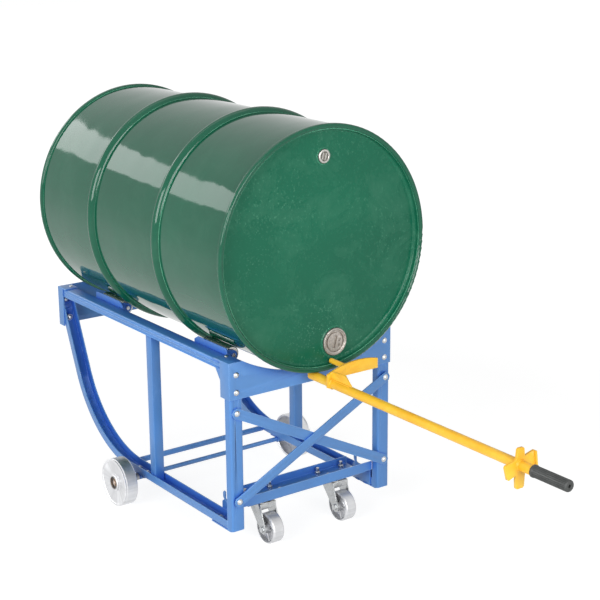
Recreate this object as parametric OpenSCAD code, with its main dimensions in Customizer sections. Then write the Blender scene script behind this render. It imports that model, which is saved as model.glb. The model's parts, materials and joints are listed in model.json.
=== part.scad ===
// Rotating drum cart: a rocker-framed cradle on wheels with a 55 gallon drum lying on four
// rollers and a chime lever hooked on the drum.
// +X is the front, where the drum's bungs, the casters and the lever are. +Z is up.
// The origin is on the floor, under the middle of the drum.

/* [Side frames] */
// Overall width over the two side frames
frame_w = 472; // [440:1:520]
// Height of the top rails over the floor
frame_h = 485; // [470:1:560]
// Distance from the middle of the drum to the front face of the posts
frame_front = 381; // [378:1:400]
// Distance from the middle of the drum to the rear face of the rockers
frame_rear = 463; // [455:1:500]
// Width of the channel that the frames are made of
rail_w = 35; // [33:1:40]
// Depth of that channel
rail_d = 22; // [21:1:26]
// Thickness of that channel
rail_t = 2.5; // [2:0.1:3]
// Outside radius of the big rocker bend
rocker_r = 310; // [280:1:330]
// Lean of the rocker above the bend, in degrees from upright
rocker_lean = 23; // [20:1:26]

/* [Wheels] */
// Diameter of the two fixed wheels
wheel_d = 124; // [118:1:128]
// Width of the fixed wheels
wheel_w = 38; // [32:1:44]
// Diameter of their through axle
axle_d = 12; // [10:1:12]
// Diameter of the swivel caster wheels
caster_d = 76; // [70:1:80]
// Width of the caster wheels
caster_w = 32; // [26:1:34]
// Distance of a caster's axle behind its swivel pin
caster_trail = 32; // [26:1:34]

/* [Drum] */
// Length of the drum over its chimes
drum_len = 878; // [850:1:900]
// Outside diameter of the drum's wall
drum_d = 574; // [560:1:590]
// Thickness of the drum's wall
drum_t = 1.5; // [1.2:0.1:2]
// Diameter of the four cradle rollers
roller_d = 40; // [34:1:44]

/* [Lever] */
// Length of the lever's tube and grip together
lever_len = 835; // [700:5:950]
// Diameter of the lever's tube
lever_d = 22; // [20:0.5:24]
// Length of the rubber grip
grip_len = 98; // [85:1:125]

/* [Hidden] */
$fn = 96;

half_w = frame_w / 2;
side_y = half_w - rail_w / 2;
inner_y = half_w - rail_w;
sheet = 3;
touch = 0.3;
bolt_d = 8;
bolt_hole = 8.6;
rail_gap = wheel_d / 2 + axle_d / 2;

// Rocker: a big bend, a leaning run and a small bend up to the rear cradle
rear_bolt_drop = [37, 84];
bend_x = -103;
bend_z = rail_gap + rocker_r;
lean_x = bend_x - rocker_r * cos(rocker_lean);
lean_z = bend_z - rocker_r * sin(rocker_lean);
top_bend_r = 60;
lean_len = (frame_rear + lean_x - top_bend_r * (1 - cos(rocker_lean))) / sin(rocker_lean);
top_bend_z = lean_z + lean_len * cos(rocker_lean) + top_bend_r * sin(rocker_lean);
wedge_x = lean_x - (frame_h - rear_bolt_drop[1] - lean_z) * tan(rocker_lean)
    + rail_t / cos(rocker_lean) + 8.5 * tan(rocker_lean) + 0.3;

// Struts and gussets
strut_x = 6;
strut_w = 25.4;
strut_t = 2;

// Cradle plates
cradle_top = frame_h + sheet;
front_arc_r = 399;
front_arc_z = 348;
rear_arc_r = 250;
rear_arc_z = 219;
cradle_bolt_drop = [28, 71];
ear_bolt_in = 48;
rear_ear_bolt_in = 22;
ear_bolt_y = inner_y + 10.5;
ear_bolt_d = 6;

// Cross brace
brace_w = 25;
brace_t = 4;
brace_low_z = rail_gap + 76;
brace_high_z = frame_h - 122;

// Caster pan and casters
foot_bolt_x = 302;
pan_x0 = 283;
pan_x1 = 362;
pan_z = caster_d + 34;
pan_lip = 27;
pan_back = 21;
pan_floor_y = inner_y - 25;
pan_end_y = inner_y - sheet;
caster_x = (pan_x0 + pan_x1) / 2;
caster_y = 110;
caster_bolt_x = 45;
caster_bolt_y = 73;
fork_gap = 20;
race_z = pan_z - 10;
crown_t = 3.2;
crown_z = race_z - touch - crown_t;
king_d = 12;

// Fixed wheels
wheel_x = -66;
wheel_z = wheel_d / 2;
wheel_off_right = 34.5;
wheel_off_left = 5;
wheel_hub_r = 20.5;
hub_recess = 7;
bush_d = 19;
clamp_bolt_x = 20;

// Rollers
roller_x = 250;
roller_len = 106;
roller_pin_d = 10;
roller_y = inner_y - roller_d / 2 - 4;
roller_z = frame_h - 7;
cheek_x = 57;

// Drum
drum_r = drum_d / 2;
chime_r = drum_r + 5.5;
hoop_r = drum_r + 11.5;
hoop_x = drum_len * 0.178;
chime_w = 14;
chime_in_r = chime_r - 12;
head_x = drum_len / 2 - 19 - drum_t;
collar_r = chime_in_r - 0.05;
axis_z = roller_z + sqrt(pow(drum_r + roller_d / 2 + touch, 2) - pow(roller_y, 2));
large_bung = [35, -230];
small_bung = [6, 216];

// Lever, hooked on the bottom of the front chime
lever_y = -25;
lever_z = axis_z - sqrt(pow(chime_r + lever_d / 2 + touch, 2) - pow(lever_y, 2));
lever_x = drum_len / 2 - 28;
hook_r = 6.5;
hook_turn = 3.8;
hook_reach = collar_r - drum_t - touch - hook_r;
hook_y = hook_reach * sin(hook_turn);
hook_z = axis_z - hook_reach * cos(hook_turn);
hook_x = drum_len / 2 - 9;
saddle_x = drum_len / 2 + 51;
saddle_t = 6;
star_x = lever_x + lever_len - grip_len - 42;

// Outline of a channel: its web lies at x = 0 and its flanges point to +X.
// The rolled corners have three flats each.
module channel_outline(depth, width, corner) {
    translate([corner, -width / 2])
        square([depth - corner, width]);
    translate([0, corner - width / 2])
        square([corner, width - 2 * corner]);
    for (side = [-1, 1])
        translate([corner, side * (width / 2 - corner)])
            circle(corner, $fn = 12);
}

// Section of a channel: shy draws its skin in, and lined rolls fine lines along its flanges
module channel_section(shy = 0, lined = false) {
    difference() {
        translate([shy, 0])
            channel_outline(rail_d - 2 * shy, rail_w - 2 * shy, 4.5 - shy);
        translate([rail_t - shy, 0])
            channel_outline(rail_d, rail_w - 2 * (rail_t - shy), 2 + shy);
        if (lined)
            for (side = [-1, 1], at = [8.5, 14.5])
                translate([at, side * rail_w / 2])
                    circle(0.7, $fn = 16);
    }
}

// Plate in the XZ plane, with its thickness along Y from y0 to y1
module upright_sheet(y0, y1) {
    translate([0, y1, 0])
        rotate([90, 0, 0])
            linear_extrude(y1 - y0)
                children();
}

// Plate in the YZ plane, with its thickness along X from x0 to x1
module cross_sheet(x0, x1) {
    translate([x0, 0, 0])
        rotate([90, 0, 90])
            linear_extrude(x1 - x0)
                children();
}

// Inner face of a fixed wheel, on the right (-1) or the left (1) side
function wheel_in_y(side) = half_w + (side > 0 ? wheel_off_left : wheel_off_right);

// Round-headed bolt along Z: the head sits on z = 0 and the nut's top is at -grip
module bolt(grip, tail = 9, head_r = 7.5, head_h = 4) {
    ball_r = (head_r * head_r + head_h * head_h) / (2 * head_h);
    intersection() {
        translate([0, 0, head_h - ball_r])
            sphere(ball_r);
        cylinder(r = head_r, h = head_h);
    }
    translate([0, 0, -grip - tail])
        cylinder(d = bolt_d, h = grip + tail + 0.5);
    translate([0, 0, -grip - 6.5])
        difference() {
            cylinder(d = 14.4, h = 6.5, $fn = 6);
            translate([0, 0, -1])
                cylinder(d = bolt_d - 0.2, h = 8.5);
        }
}

// Small round-headed bolt of the cradle ears
module ear_bolt(grip) {
    head_r = 4.8;
    head_h = 3;
    ball_r = (head_r * head_r + head_h * head_h) / (2 * head_h);
    intersection() {
        translate([0, 0, head_h - ball_r])
            sphere(ball_r);
        cylinder(r = head_r, h = head_h);
    }
    translate([0, 0, -grip - 7])
        cylinder(d = ear_bolt_d, h = grip + 7.5);
    translate([0, 0, -grip - 5])
        difference() {
            cylinder(d = 11, h = 5, $fn = 6);
            translate([0, 0, -1])
                cylinder(d = ear_bolt_d - 0.2, h = 7);
        }
}

module bolt_bore(length, diameter = bolt_hole) {
    translate([0, 0, -length / 2])
        cylinder(d = diameter, h = length);
}

// Rocker of one side: bottom rail, big bend, leaning run, small bend and upright end.
// The runs lap a little way over the bends, which are drawn a hair slimmer.
module rocker(side) {
    rail_end = frame_front - rail_d;
    lap = 0.4;
    shy = 0.01;
    color("royalblue")
        difference() {
            translate([0, side * side_y, 0]) {
                translate([rail_end, 0, rail_gap])
                    rotate([0, -90, 0])
                        linear_extrude(rail_end - bend_x + lap)
                            channel_section();
                translate([bend_x, 0, bend_z])
                    rotate([90, 0, 0])
                        rotate([0, 0, 180 + rocker_lean])
                            rotate_extrude(angle = 90 - rocker_lean, $fn = 180)
                                translate([rocker_r, 0])
                                    mirror([1, 0])
                                        channel_section(shy);
                translate([lean_x, 0, lean_z])
                    rotate([0, -rocker_lean, 0])
                        translate([0, 0, -lap])
                            linear_extrude(lean_len + 2 * lap)
                                channel_section();
                translate([top_bend_r - frame_rear, 0, top_bend_z])
                    rotate([90, 0, 0])
                        rotate([0, 0, 180])
                            rotate_extrude(angle = rocker_lean)
                                translate([top_bend_r, 0])
                                    mirror([1, 0])
                                        channel_section(shy);
                translate([-frame_rear, 0, top_bend_z - lap])
                    linear_extrude(frame_h - rail_t - top_bend_z + lap)
                        channel_section();
            }
            for (at = [-1, 1])
                translate([wheel_x + at * clamp_bolt_x, side * side_y, rail_gap])
                    bolt_bore(20);
            translate([foot_bolt_x, side * side_y, rail_gap])
                bolt_bore(20);
            for (drop = rear_bolt_drop)
                translate([-frame_rear, side * side_y, frame_h - drop])
                    rotate([0, 90, 0])
                        bolt_bore(80);
        }
}

// Top rail of one side, its flanges cut back where the post and the rocker stand under it
module top_rail(side) {
    length = frame_front + frame_rear;
    color("royalblue")
        difference() {
            translate([-frame_rear, side * side_y, frame_h])
                rotate([0, 90, 0])
                    linear_extrude(length)
                        channel_section(lined = true);
            for (end = [[-frame_rear - 1, rail_d + 1], [frame_front - rail_d, rail_d + 1]])
                translate([end[0], side * side_y - rail_w / 2 - 1, frame_h - rail_d - 1])
                    cube([end[1], rail_w + 2, rail_d + 1 - rail_t]);
            translate([frame_front - ear_bolt_in, side * ear_bolt_y, frame_h])
                bolt_bore(20, ear_bolt_d + 0.5);
            translate([rear_ear_bolt_in - frame_rear, side * ear_bolt_y, frame_h])
                bolt_bore(20, ear_bolt_d + 0.5);
        }
}

module front_post(side) {
    color("royalblue")
        difference() {
            translate([frame_front, side * side_y, rail_gap])
                mirror([1, 0, 0])
                    linear_extrude(frame_h - rail_t - rail_gap)
                        channel_section();
            for (z = [frame_h - cradle_bolt_drop[0], frame_h - cradle_bolt_drop[1], brace_low_z,
                    brace_high_z])
                translate([frame_front, side * side_y, z])
                    rotate([0, 90, 0])
                        bolt_bore(20);
        }
}

module strut(side) {
    color("royalblue")
        translate([strut_x, side * side_y, rail_gap + rail_t])
            linear_extrude(frame_h - rail_gap - 2 * rail_t)
                difference() {
                    square(strut_w, center = true);
                    square(strut_w - 2 * strut_t, center = true);
                }
}

// Triangular gussets in the corner of top rail and post, against the outer flanges
module gussets() {
    face_y = half_w - rail_t;
    color("royalblue")
        for (side = [-1, 1])
            upright_sheet(side > 0 ? face_y - 2.8 : -face_y, side > 0 ? face_y : 2.8 - face_y)
                polygon([[frame_front - 71, frame_h - 13], [frame_front - 7, frame_h - 13],
                    [frame_front - 7, frame_h - 100]]);
}

// Cradle plate: a cross sheet with a drum arc, side flanges and ears folded over the rails
module cradle(depth, flange, ear, arc_r, arc_z, drops) {
    half = half_w + sheet;
    low = cradle_top - depth;
    difference() {
        union() {
            cross_sheet(0, sheet)
                difference() {
                    translate([-half, low])
                        square([2 * half, depth]);
                    translate([0, frame_h + arc_z])
                        circle(arc_r, $fn = 240);
                }
            for (side = [-1, 1]) {
                translate([sheet - flange, side > 0 ? half_w : -half, low])
                    cube([flange, sheet, depth]);
                translate([sheet - ear, side > 0 ? inner_y : -half, frame_h])
                    cube([ear, half - inner_y, sheet]);
            }
        }
        for (side = [-1, 1])
            for (drop = drops)
                translate([0, side * side_y, frame_h - drop])
                    rotate([0, 90, 0])
                        bolt_bore(20);
        for (side = [-1, 1])
            translate([sheet - half, side * half, 0])
                rotate([0, 0, side > 0 ? 0 : -90])
                    translate([half, 0, low - 1])
                        rounded_corner_cut(depth + 2);
    }
}

// What a fold's outside radius takes off a square corner that points to +X and +Y
module rounded_corner_cut(height) {
    corner = 4;
    linear_extrude(height)
        difference() {
            translate([-corner, -corner])
                square(corner + 1);
            translate([-corner, -corner])
                circle(corner, $fn = 48);
        }
}

module front_cradle() {
    color("cornflowerblue")
        translate([frame_front, 0, 0])
            difference() {
                cradle(90, 38, 64, front_arc_r, front_arc_z, cradle_bolt_drop);
                for (side = [-1, 1])
                    translate([-ear_bolt_in, side * ear_bolt_y, frame_h])
                        bolt_bore(20, ear_bolt_d + 0.5);
            }
}

module rear_cradle() {
    color("cornflowerblue")
        translate([-frame_rear, 0, 0])
            mirror([1, 0, 0])
                difference() {
                    cradle(108, 27, 44, rear_arc_r, rear_arc_z, rear_bolt_drop);
                    for (side = [-1, 1])
                        translate([-rear_ear_bolt_in, side * ear_bolt_y, frame_h])
                            bolt_bore(20, ear_bolt_d + 0.5);
                }
}

// Flat bar between two bolt centres in the YZ plane, with clipped ends
module brace_bar(from, to) {
    run = to - from;
    length = norm(run);
    half = brace_w / 2;
    clip = half * tan(22.5);
    difference() {
        translate(from)
            rotate(atan2(run[1], run[0]))
                polygon([[-half, -clip], [-clip, -half], [length + clip, -half],
                    [length + half, -clip], [length + half, clip], [length + clip, half],
                    [-clip, half], [-half, clip]]);
        for (end = [from, to])
            translate(end)
                circle(d = bolt_hole);
    }
}

module brace_bar_back() {
    color("cornflowerblue")
        cross_sheet(frame_front, frame_front + brace_t)
            brace_bar([-side_y, brace_high_z], [side_y, brace_low_z]);
}

module brace_bar_front() {
    color("cornflowerblue") {
        cross_sheet(frame_front + brace_t, frame_front + 2 * brace_t)
            brace_bar([-side_y, brace_low_z], [side_y, brace_high_z]);
        for (end = [[-1, brace_low_z], [1, brace_high_z]])
            cross_sheet(frame_front, frame_front + brace_t)
                translate([end[0] * side_y, end[1]])
                    difference() {
                        circle(d = 20);
                        circle(d = bolt_hole);
                    }
    }
}

// Folded pan across the frame that the casters hang from: a floor whose front tabs are
// fixed to the end plates, a low back, and a front lip as long as the tabs
module caster_pan() {
    width = pan_x1 - pan_x0;
    color("royalblue")
        difference() {
            union() {
                translate([caster_x, pan_floor_y, pan_z])
                    rotate([90, 0, 0])
                        linear_extrude(2 * pan_floor_y)
                            rotate(90)
                                difference() {
                                    channel_outline(pan_back, width, 4.5);
                                    translate([rail_t, 0])
                                        channel_outline(pan_back, width - 2 * rail_t, 2);
                                }
                translate([pan_x1 - rail_t, -pan_end_y, pan_z + 4.5])
                    cube([rail_t, 2 * pan_end_y, pan_lip - 4.5]);
                translate([pan_x1 - 32, -pan_end_y, pan_z])
                    cube([24, 2 * pan_end_y, rail_t]);
                translate([pan_x0, -pan_floor_y, pan_z - 13])
                    cube([rail_t, 2 * pan_floor_y, 20]);
            }
            for (side = [-1, 1])
                caster_bolts(side)
                    bolt_bore(20);
        }
}

module caster_bolts(side) {
    for (dx = [-1, 1], dy = [-1, 1])
        translate([caster_x + dx * caster_bolt_x / 2, side * caster_y + dy * caster_bolt_y / 2,
            pan_z])
            children();
}

// End plates that carry the pan on the bottom rails, each with a notch in its back edge
module pan_ends() {
    front = frame_front - rail_d - 5;
    top = pan_z + 25;
    floor_top = pan_z + rail_t;
    color("royalblue")
        for (side = [-1, 1])
            upright_sheet(side > 0 ? pan_end_y : -inner_y, side > 0 ? inner_y : -pan_end_y)
                polygon([[pan_x0, rail_gap], [pan_x0, pan_z - 5], [pan_x0 + 2, pan_z - 1.5],
                    [pan_x0 + 9, pan_z + 3.5], [pan_x0 + 5, pan_z + 8], [pan_x0 + 4, pan_z + 11],
                    [pan_x0 + 4, top - 4], [pan_x0 + 8, top], [pan_x0 + 12, top],
                    [pan_x0 + 14, top - 3], [pan_x0 + 14, floor_top + 5],
                    [pan_x0 + 19, floor_top], [front - 3, floor_top],
                    [front, floor_top - 3], [front, rail_gap]]);
}

module foot_plates() {
    color("royalblue")
        for (side = [-1, 1])
            difference() {
                translate([288, side * side_y - rail_w / 2 + 0.5, rail_gap - sheet])
                    cube([frame_front - 9 - 288, rail_w - 1, sheet]);
                translate([foot_bolt_x, side * side_y, rail_gap])
                    bolt_bore(20);
            }
}

// Tie bar between the two rockers, behind the wheels
module rear_tie() {
    color("royalblue")
        translate([-133, -inner_y, rail_gap + 1.5])
            cube([6, 2 * inner_y, 14]);
}

// Axle under both bottom rails, with chamfered ends in the wheels' hub recesses
module rear_axle() {
    left = wheel_in_y(1) + wheel_w - 1;
    right = wheel_in_y(-1) + wheel_w - 1;
    color("darkslateblue")
        translate([wheel_x, 0, wheel_z])
            rotate([90, 0, 0])
                rotate_extrude()
                    polygon([[0, -left], [axle_d / 2 - 1, -left], [axle_d / 2, 1 - left],
                        [axle_d / 2, right - 1], [axle_d / 2 - 1, right], [0, right]]);
}

// Pressed saddle clamps that hold the axle under the rails
module axle_clamps() {
    gap = rail_gap - wheel_z;
    color("royalblue")
        for (side = [-1, 1])
            difference() {
                translate([wheel_x, 0, wheel_z])
                    upright_sheet(side * side_y - 15, side * side_y + 15)
                        difference() {
                            union() {
                                circle(axle_d / 2 + sheet);
                                translate([-30, gap - sheet])
                                    square([60, sheet]);
                            }
                            circle(axle_d / 2 + 0.02);
                            translate([-axle_d / 2 - 0.02, 0])
                                square([axle_d + 0.04, 40]);
                            translate([-40, gap])
                                square([80, 20]);
                        }
                for (at = [-1, 1])
                    translate([wheel_x + at * clamp_bolt_x, side * side_y, rail_gap])
                        bolt_bore(20);
            }
}

module axle_spacers() {
    color("gray")
        for (side = [-1, 1])
            translate([wheel_x, 0, wheel_z])
                rotate([-90 * side, 0, 0])
                    translate([0, 0, half_w + touch])
                        difference() {
                            cylinder(d = axle_d + 6, h = wheel_in_y(side) - half_w - 2 * touch);
                            translate([0, 0, -1])
                                cylinder(d = axle_d + 0.04, h = 100);
                        }
}

// Push-on retainers on the ends of the axle, inside the hub recesses
module axle_retainers() {
    color("dimgray")
        for (side = [-1, 1])
            translate([wheel_x, 0, wheel_z])
                rotate([-90 * side, 0, 0])
                    translate([0, 0, wheel_in_y(side) + wheel_w - hub_recess + touch])
                        difference() {
                            rotate_extrude()
                                polygon([[0, 0], [11.5, 0], [11.5, 1.2], [axle_d / 2 + 2.2, 3.4], [0, 3.4]]);
                            translate([0, 0, -1])
                                cylinder(d = axle_d + 0.04, h = 6);
                        }
}

// Roller bracket: a back plate welded to the rail's inner flange, and two cheeks
module roller_bracket(end, side) {
    color("mediumblue")
        translate([end * roller_x, 0, 0])
            mirror([end > 0 ? 0 : 1, 0, 0])
                mirror([0, side > 0 ? 0 : 1, 0]) {
                    upright_sheet(inner_y - sheet, inner_y)
                        polygon([[-74, frame_h - 21], [68, frame_h - 21], [68, frame_h + 8],
                            [64, frame_h + 15], [-58, frame_h + 15], [-74, frame_h + 6]]);
                    for (at = [-1, 1])
                        cross_sheet(at * cheek_x - sheet / 2, at * cheek_x + sheet / 2)
                            difference() {
                                union() {
                                    polygon([[inner_y - 1, frame_h + 12], [roller_y, roller_z + 12],
                                        [roller_y, roller_z - 12], [inner_y - 1, roller_z - 12]]);
                                    translate([roller_y, roller_z])
                                        circle(12);
                                }
                                translate([roller_y, roller_z])
                                    circle(d = roller_pin_d + 0.04);
                            }
                }
}

module roller_pins() {
    head_h = 2.5;
    reach = cheek_x + sheet / 2;
    length = 2 * reach + head_h + 4;
    color("silver")
        for (end = [-1, 1], side = [-1, 1])
            translate([end * roller_x - reach - head_h, side * roller_y, roller_z])
                rotate([0, 90, 0]) {
                    cylinder(d = roller_pin_d, h = length);
                    cylinder(d = roller_pin_d + 5, h = head_h);
                }
}

module cradle_bolts() {
    color("gainsboro") {
        for (side = [-1, 1]) {
            for (drop = cradle_bolt_drop)
                translate([frame_front + sheet, side * side_y, frame_h - drop])
                    rotate([0, 90, 0])
                        bolt(sheet + rail_t);
            translate([frame_front - ear_bolt_in, side * ear_bolt_y, cradle_top])
                ear_bolt(sheet + rail_t);
            translate([rear_ear_bolt_in - frame_rear, side * ear_bolt_y, cradle_top])
                ear_bolt(sheet + rail_t);
            translate([rail_t + 0.15 - frame_rear, side * side_y, frame_h - rear_bolt_drop[0]])
                rotate([0, 90, 0])
                    bolt(sheet + rail_t + 0.15);
            translate([wedge_x, side * side_y, frame_h - rear_bolt_drop[1]])
                rotate([0, 90, 0])
                    bolt(wedge_x + frame_rear + sheet);
        }
    }
}

// Sleeves and wedge washers where the lower rear bolts cross the leaning rocker web
module rear_wedges() {
    z = frame_h - rear_bolt_drop[1];
    color("silver")
        for (side = [-1, 1])
            difference() {
                translate([-frame_rear, side * side_y, z])
                    rotate([0, 90, 0])
                        cylinder(d = 17, h = wedge_x + frame_rear);
                translate([lean_x, side * side_y - 20, lean_z])
                    rotate([0, -rocker_lean, 0])
                        translate([0, 0, 60])
                            cube([rail_t, 40, 130]);
                translate([-frame_rear - 1, side * side_y, z])
                    rotate([0, 90, 0])
                        cylinder(d = bolt_d + 0.1, h = 60);
            }
}

module brace_bolts() {
    color("gainsboro")
        for (side = [-1, 1]) {
            translate([frame_front + (side < 0 ? 1 : 2) * brace_t, side * side_y, brace_high_z])
                rotate([0, 90, 0])
                    bolt((side < 0 ? 1 : 2) * brace_t + rail_t);
            translate([frame_front + (side < 0 ? 2 : 1) * brace_t, side * side_y, brace_low_z])
                rotate([0, 90, 0])
                    bolt((side < 0 ? 2 : 1) * brace_t + rail_t);
        }
}

// Bolts of the caster plates, axle clamps and foot plates
module base_bolts() {
    color("gainsboro") {
        for (side = [-1, 1]) {
            caster_bolts(side)
                translate([0, 0, -sheet])
                    mirror([0, 0, 1])
                        bolt(sheet + rail_t, 16.5);
            for (at = [-1, 1])
                translate([wheel_x + at * clamp_bolt_x, side * side_y, rail_gap - sheet])
                    mirror([0, 0, 1])
                        bolt(sheet + rail_t);
            translate([foot_bolt_x, side * side_y, rail_gap - sheet])
                mirror([0, 0, 1])
                    bolt(sheet + rail_t);
        }
    }
}

// Top plate of a caster with the raceway pressed in below it
module caster_plate(side) {
    color("silver")
        difference() {
            union() {
                translate([caster_x - 30, side * caster_y - 46, pan_z - sheet])
                    cube([60, 92, sheet]);
                translate([caster_x, side * caster_y, 0])
                    rotate_extrude()
                        polygon([[0, pan_z - sheet], [21, pan_z - sheet], [24, pan_z - 6],
                            [27, pan_z - 7.5], [27, race_z], [0, race_z]]);
            }
            caster_bolts(side)
                bolt_bore(20);
            translate([caster_x, side * caster_y, race_z - 5])
                cylinder(d = king_d + 0.1, h = 40);
            translate([caster_x, side * caster_y, pan_z - 2.3])
                cylinder(r1 = king_d / 2 + 0.05, r2 = king_d / 2 + 2.35, h = 2.3);
        }
}

// King pins, riveted flush into the plates, with a head under the fork's crown
module king_pins() {
    color("gray")
        for (side = [-1, 1])
            translate([caster_x, side * caster_y, 0])
                rotate_extrude()
                    polygon([[0, crown_z - 5.5], [10, crown_z - 5.5], [10, crown_z - touch],
                        [king_d / 2, crown_z - touch], [king_d / 2, pan_z - 2.3],
                        [king_d / 2 + 2, pan_z - 0.3], [0, pan_z - 0.3]]);
}

// Pressed fork: a round crown, two legs that rake to the axle, and a skirt between them
module caster_fork(side) {
    axle_x = caster_x + caster_trail;
    axle_z = caster_d / 2;
    leg_t = 2.8;
    color("silver")
        difference() {
            union() {
                translate([caster_x, side * caster_y, crown_z])
                    cylinder(d = 53, h = crown_t);
                for (leg = [-1, 1])
                    upright_sheet(side * caster_y + (leg > 0 ? fork_gap : -fork_gap - leg_t),
                        side * caster_y + (leg > 0 ? fork_gap + leg_t : -fork_gap)) {
                        polygon([[caster_x - 24, crown_z + crown_t], [caster_x - 26, crown_z - 8],
                            [axle_x - 12.5, axle_z - 2.5], [axle_x + 12.5, axle_z + 1],
                            [caster_x + 25, crown_z - 10], [caster_x + 24, crown_z + crown_t]]);
                        translate([axle_x, axle_z])
                            circle(12.8);
                    }
                translate([caster_x + 21, side * caster_y - fork_gap - 1, crown_z - 12])
                    cube([3, 2 * fork_gap + 2, 12 + crown_t]);
                intersection() {
                    translate([caster_x - 24, side * caster_y - fork_gap - 1, crown_z])
                        cube([48, 2 * fork_gap + 2, crown_t]);
                    translate([caster_x, side * caster_y, crown_z])
                        cylinder(r = 33, h = crown_t);
                }
            }
            translate([caster_x, side * caster_y, crown_z - 5])
                cylinder(d = king_d + 0.12, h = 20);
            translate([axle_x, side * caster_y + 40, axle_z])
                rotate([90, 0, 0])
                    cylinder(d = bolt_d + 0.1, h = 80);
        }
}

module caster_axle(side) {
    reach = fork_gap + 2.8;
    color("gainsboro")
        translate([caster_x + caster_trail, side * caster_y, caster_d / 2])
            rotate([90, 0, 0]) {
                translate([0, 0, -reach - 8])
                    cylinder(d = bolt_d, h = 2 * reach + 13);
                translate([0, 0, reach])
                    cylinder(d = 14.6, h = 5.2, $fn = 6);
                translate([0, 0, -reach - 6.2])
                    difference() {
                        cylinder(d = 14.6, h = 6.2, $fn = 6);
                        translate([0, 0, -1])
                            cylinder(d = bolt_d - 0.2, h = 9);
                    }
            }
}

// Half section of a cast wheel: tread, dished web and hub, all round the axis
module wheel_section(radius, width, hub_r, hub_w, bore_r) {
    rim = radius * 0.17;
    web = width * 0.22;
    polygon([[bore_r, -hub_w / 2], [hub_r, -hub_w / 2], [hub_r + 1.5, -web / 2 - 1],
        [hub_r + 3, -web / 2], [radius - rim, -web / 2], [radius - rim + 2, -width / 2 + 1],
        [radius - 4, -width / 2], [radius - 1.2, 1.2 - width / 2], [radius, 4 - width / 2],
        [radius, width / 2 - 4], [radius - 1.2, width / 2 - 1.2], [radius - 4, width / 2],
        [radius - rim + 2, width / 2 - 1], [radius - rim, web / 2], [hub_r + 3, web / 2],
        [hub_r + 1.5, web / 2 + 1], [hub_r, hub_w / 2], [bore_r, hub_w / 2]]);
}

// Ribs between hub and rim, inside the dish of the wheel
module wheel_ribs(count, radius, width, hub_r) {
    for (i = [0:count - 1])
        rotate([0, 0, i * 360 / count])
            translate([hub_r - 1, -1.75, -width * 0.36])
                cube([radius * 0.83 - hub_r + 2, 3.5, width * 0.72]);
}

module caster_wheel(side) {
    radius = caster_d / 2;
    color("lightgray")
        translate([caster_x + caster_trail, side * caster_y, radius])
            rotate([90, 0, 0]) {
                rotate_extrude($fn = 144)
                    wheel_section(radius, caster_w, 11, 2 * fork_gap - 2 * touch, bolt_d / 2 + 0.05);
                wheel_ribs(5, radius, caster_w, 11);
            }
}

// Fixed wheel: a solid disc with a coned outer face, a hollowed tread and a recess in the hub
module rear_wheel(side) {
    radius = wheel_d / 2;
    half = wheel_w / 2;
    color("lightgray")
        translate([wheel_x, side * (wheel_in_y(side) + half), radius])
            rotate([side > 0 ? -90 : 90, 0, 0])
                rotate_extrude($fn = 180)
                    polygon([[bush_d / 2, -half], [wheel_hub_r, -half], [wheel_hub_r + 2, 2 - half],
                        [wheel_hub_r + 3, half - 15], [radius - 9, half - 13], [radius - 7.5, 1 - half],
                        [radius - 6.5, -half], [radius - 3, -half], [radius - 0.9, 0.9 - half],
                        [radius, 3 - half], [radius, half - 8], [radius - 1.3, half - 5.5],
                        [radius - 1.3, half - 4.5], [radius - 0.4, half - 2.5],
                        [radius - 1.2, half - 0.8], [radius - 3, half], [radius - 6, half],
                        [radius - 7.5, half - 1.4], [wheel_hub_r + 3.5, half - 6.5],
                        [wheel_hub_r + 1.5, half - 5.5], [wheel_hub_r + 1, half - 1],
                        [wheel_hub_r, half], [16, half], [15.5, half - hub_recess],
                        [bush_d / 2, half - hub_recess]]);
}

module wheel_bush(side) {
    length = wheel_w - hub_recess;
    color("darkkhaki")
        translate([wheel_x, side * wheel_in_y(side), wheel_z])
            rotate([side > 0 ? -90 : 90, 0, 0])
                difference() {
                    cylinder(d = bush_d, h = length);
                    translate([0, 0, -1])
                        cylinder(d = axle_d + 0.1, h = length + 2);
                }
}

// Cradle roller: a sleeve with chamfered ends on its pin
module roller(end, side) {
    color("dimgray")
        translate([end * roller_x, side * roller_y, roller_z])
            rotate([0, 90, 0])
                rotate_extrude()
                    polygon([[roller_pin_d / 2 + 0.05, -roller_len / 2],
                        [roller_d / 2 - 2, -roller_len / 2],
                        [roller_d / 2, 2 - roller_len / 2],
                        [roller_d / 2, roller_len / 2 - 2],
                        [roller_d / 2 - 2, roller_len / 2],
                        [roller_pin_d / 2 + 0.05, roller_len / 2]]);
}

// Turns a half section (radius, place along the drum) into a ring round the drum's axis
module round_drum() {
    translate([0, 0, axis_z])
        rotate([0, 90, 0])
            rotate_extrude($fn = 240)
                children();
}

// Outer or inner outline of the drum's wall, with its two rolling hoops
module wall_outline(radius, bead_r, length) {
    translate([0, -length / 2])
        square([radius, length]);
    for (end = [-1, 1])
        translate([hoop_r - 14, end * hoop_x])
            intersection() {
                circle(bead_r);
                translate([0, -20])
                    square(40);
            }
}

// Wall of the drum: hoops in the middle, and the rolled chimes at both ends
module drum_shell() {
    color("darkgreen") {
        round_drum() {
            difference() {
                wall_outline(drum_r, 14, drum_len - 2 * chime_w + 4);
                wall_outline(drum_r - drum_t, 14 - drum_t, drum_len);
            }
            for (end = [-1, 1])
                translate([chime_r - 6, end * (drum_len / 2 - chime_w / 2)]) {
                    square([12, 4], center = true);
                    for (at = [-1, 1])
                        translate([0, at * (chime_w / 2 - 5)]) {
                            square([2, 10], center = true);
                            for (in_out = [-1, 1])
                                translate([in_out, 0])
                                    circle(5, $fn = 48);
                        }
                }
        }
    }
}

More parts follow.
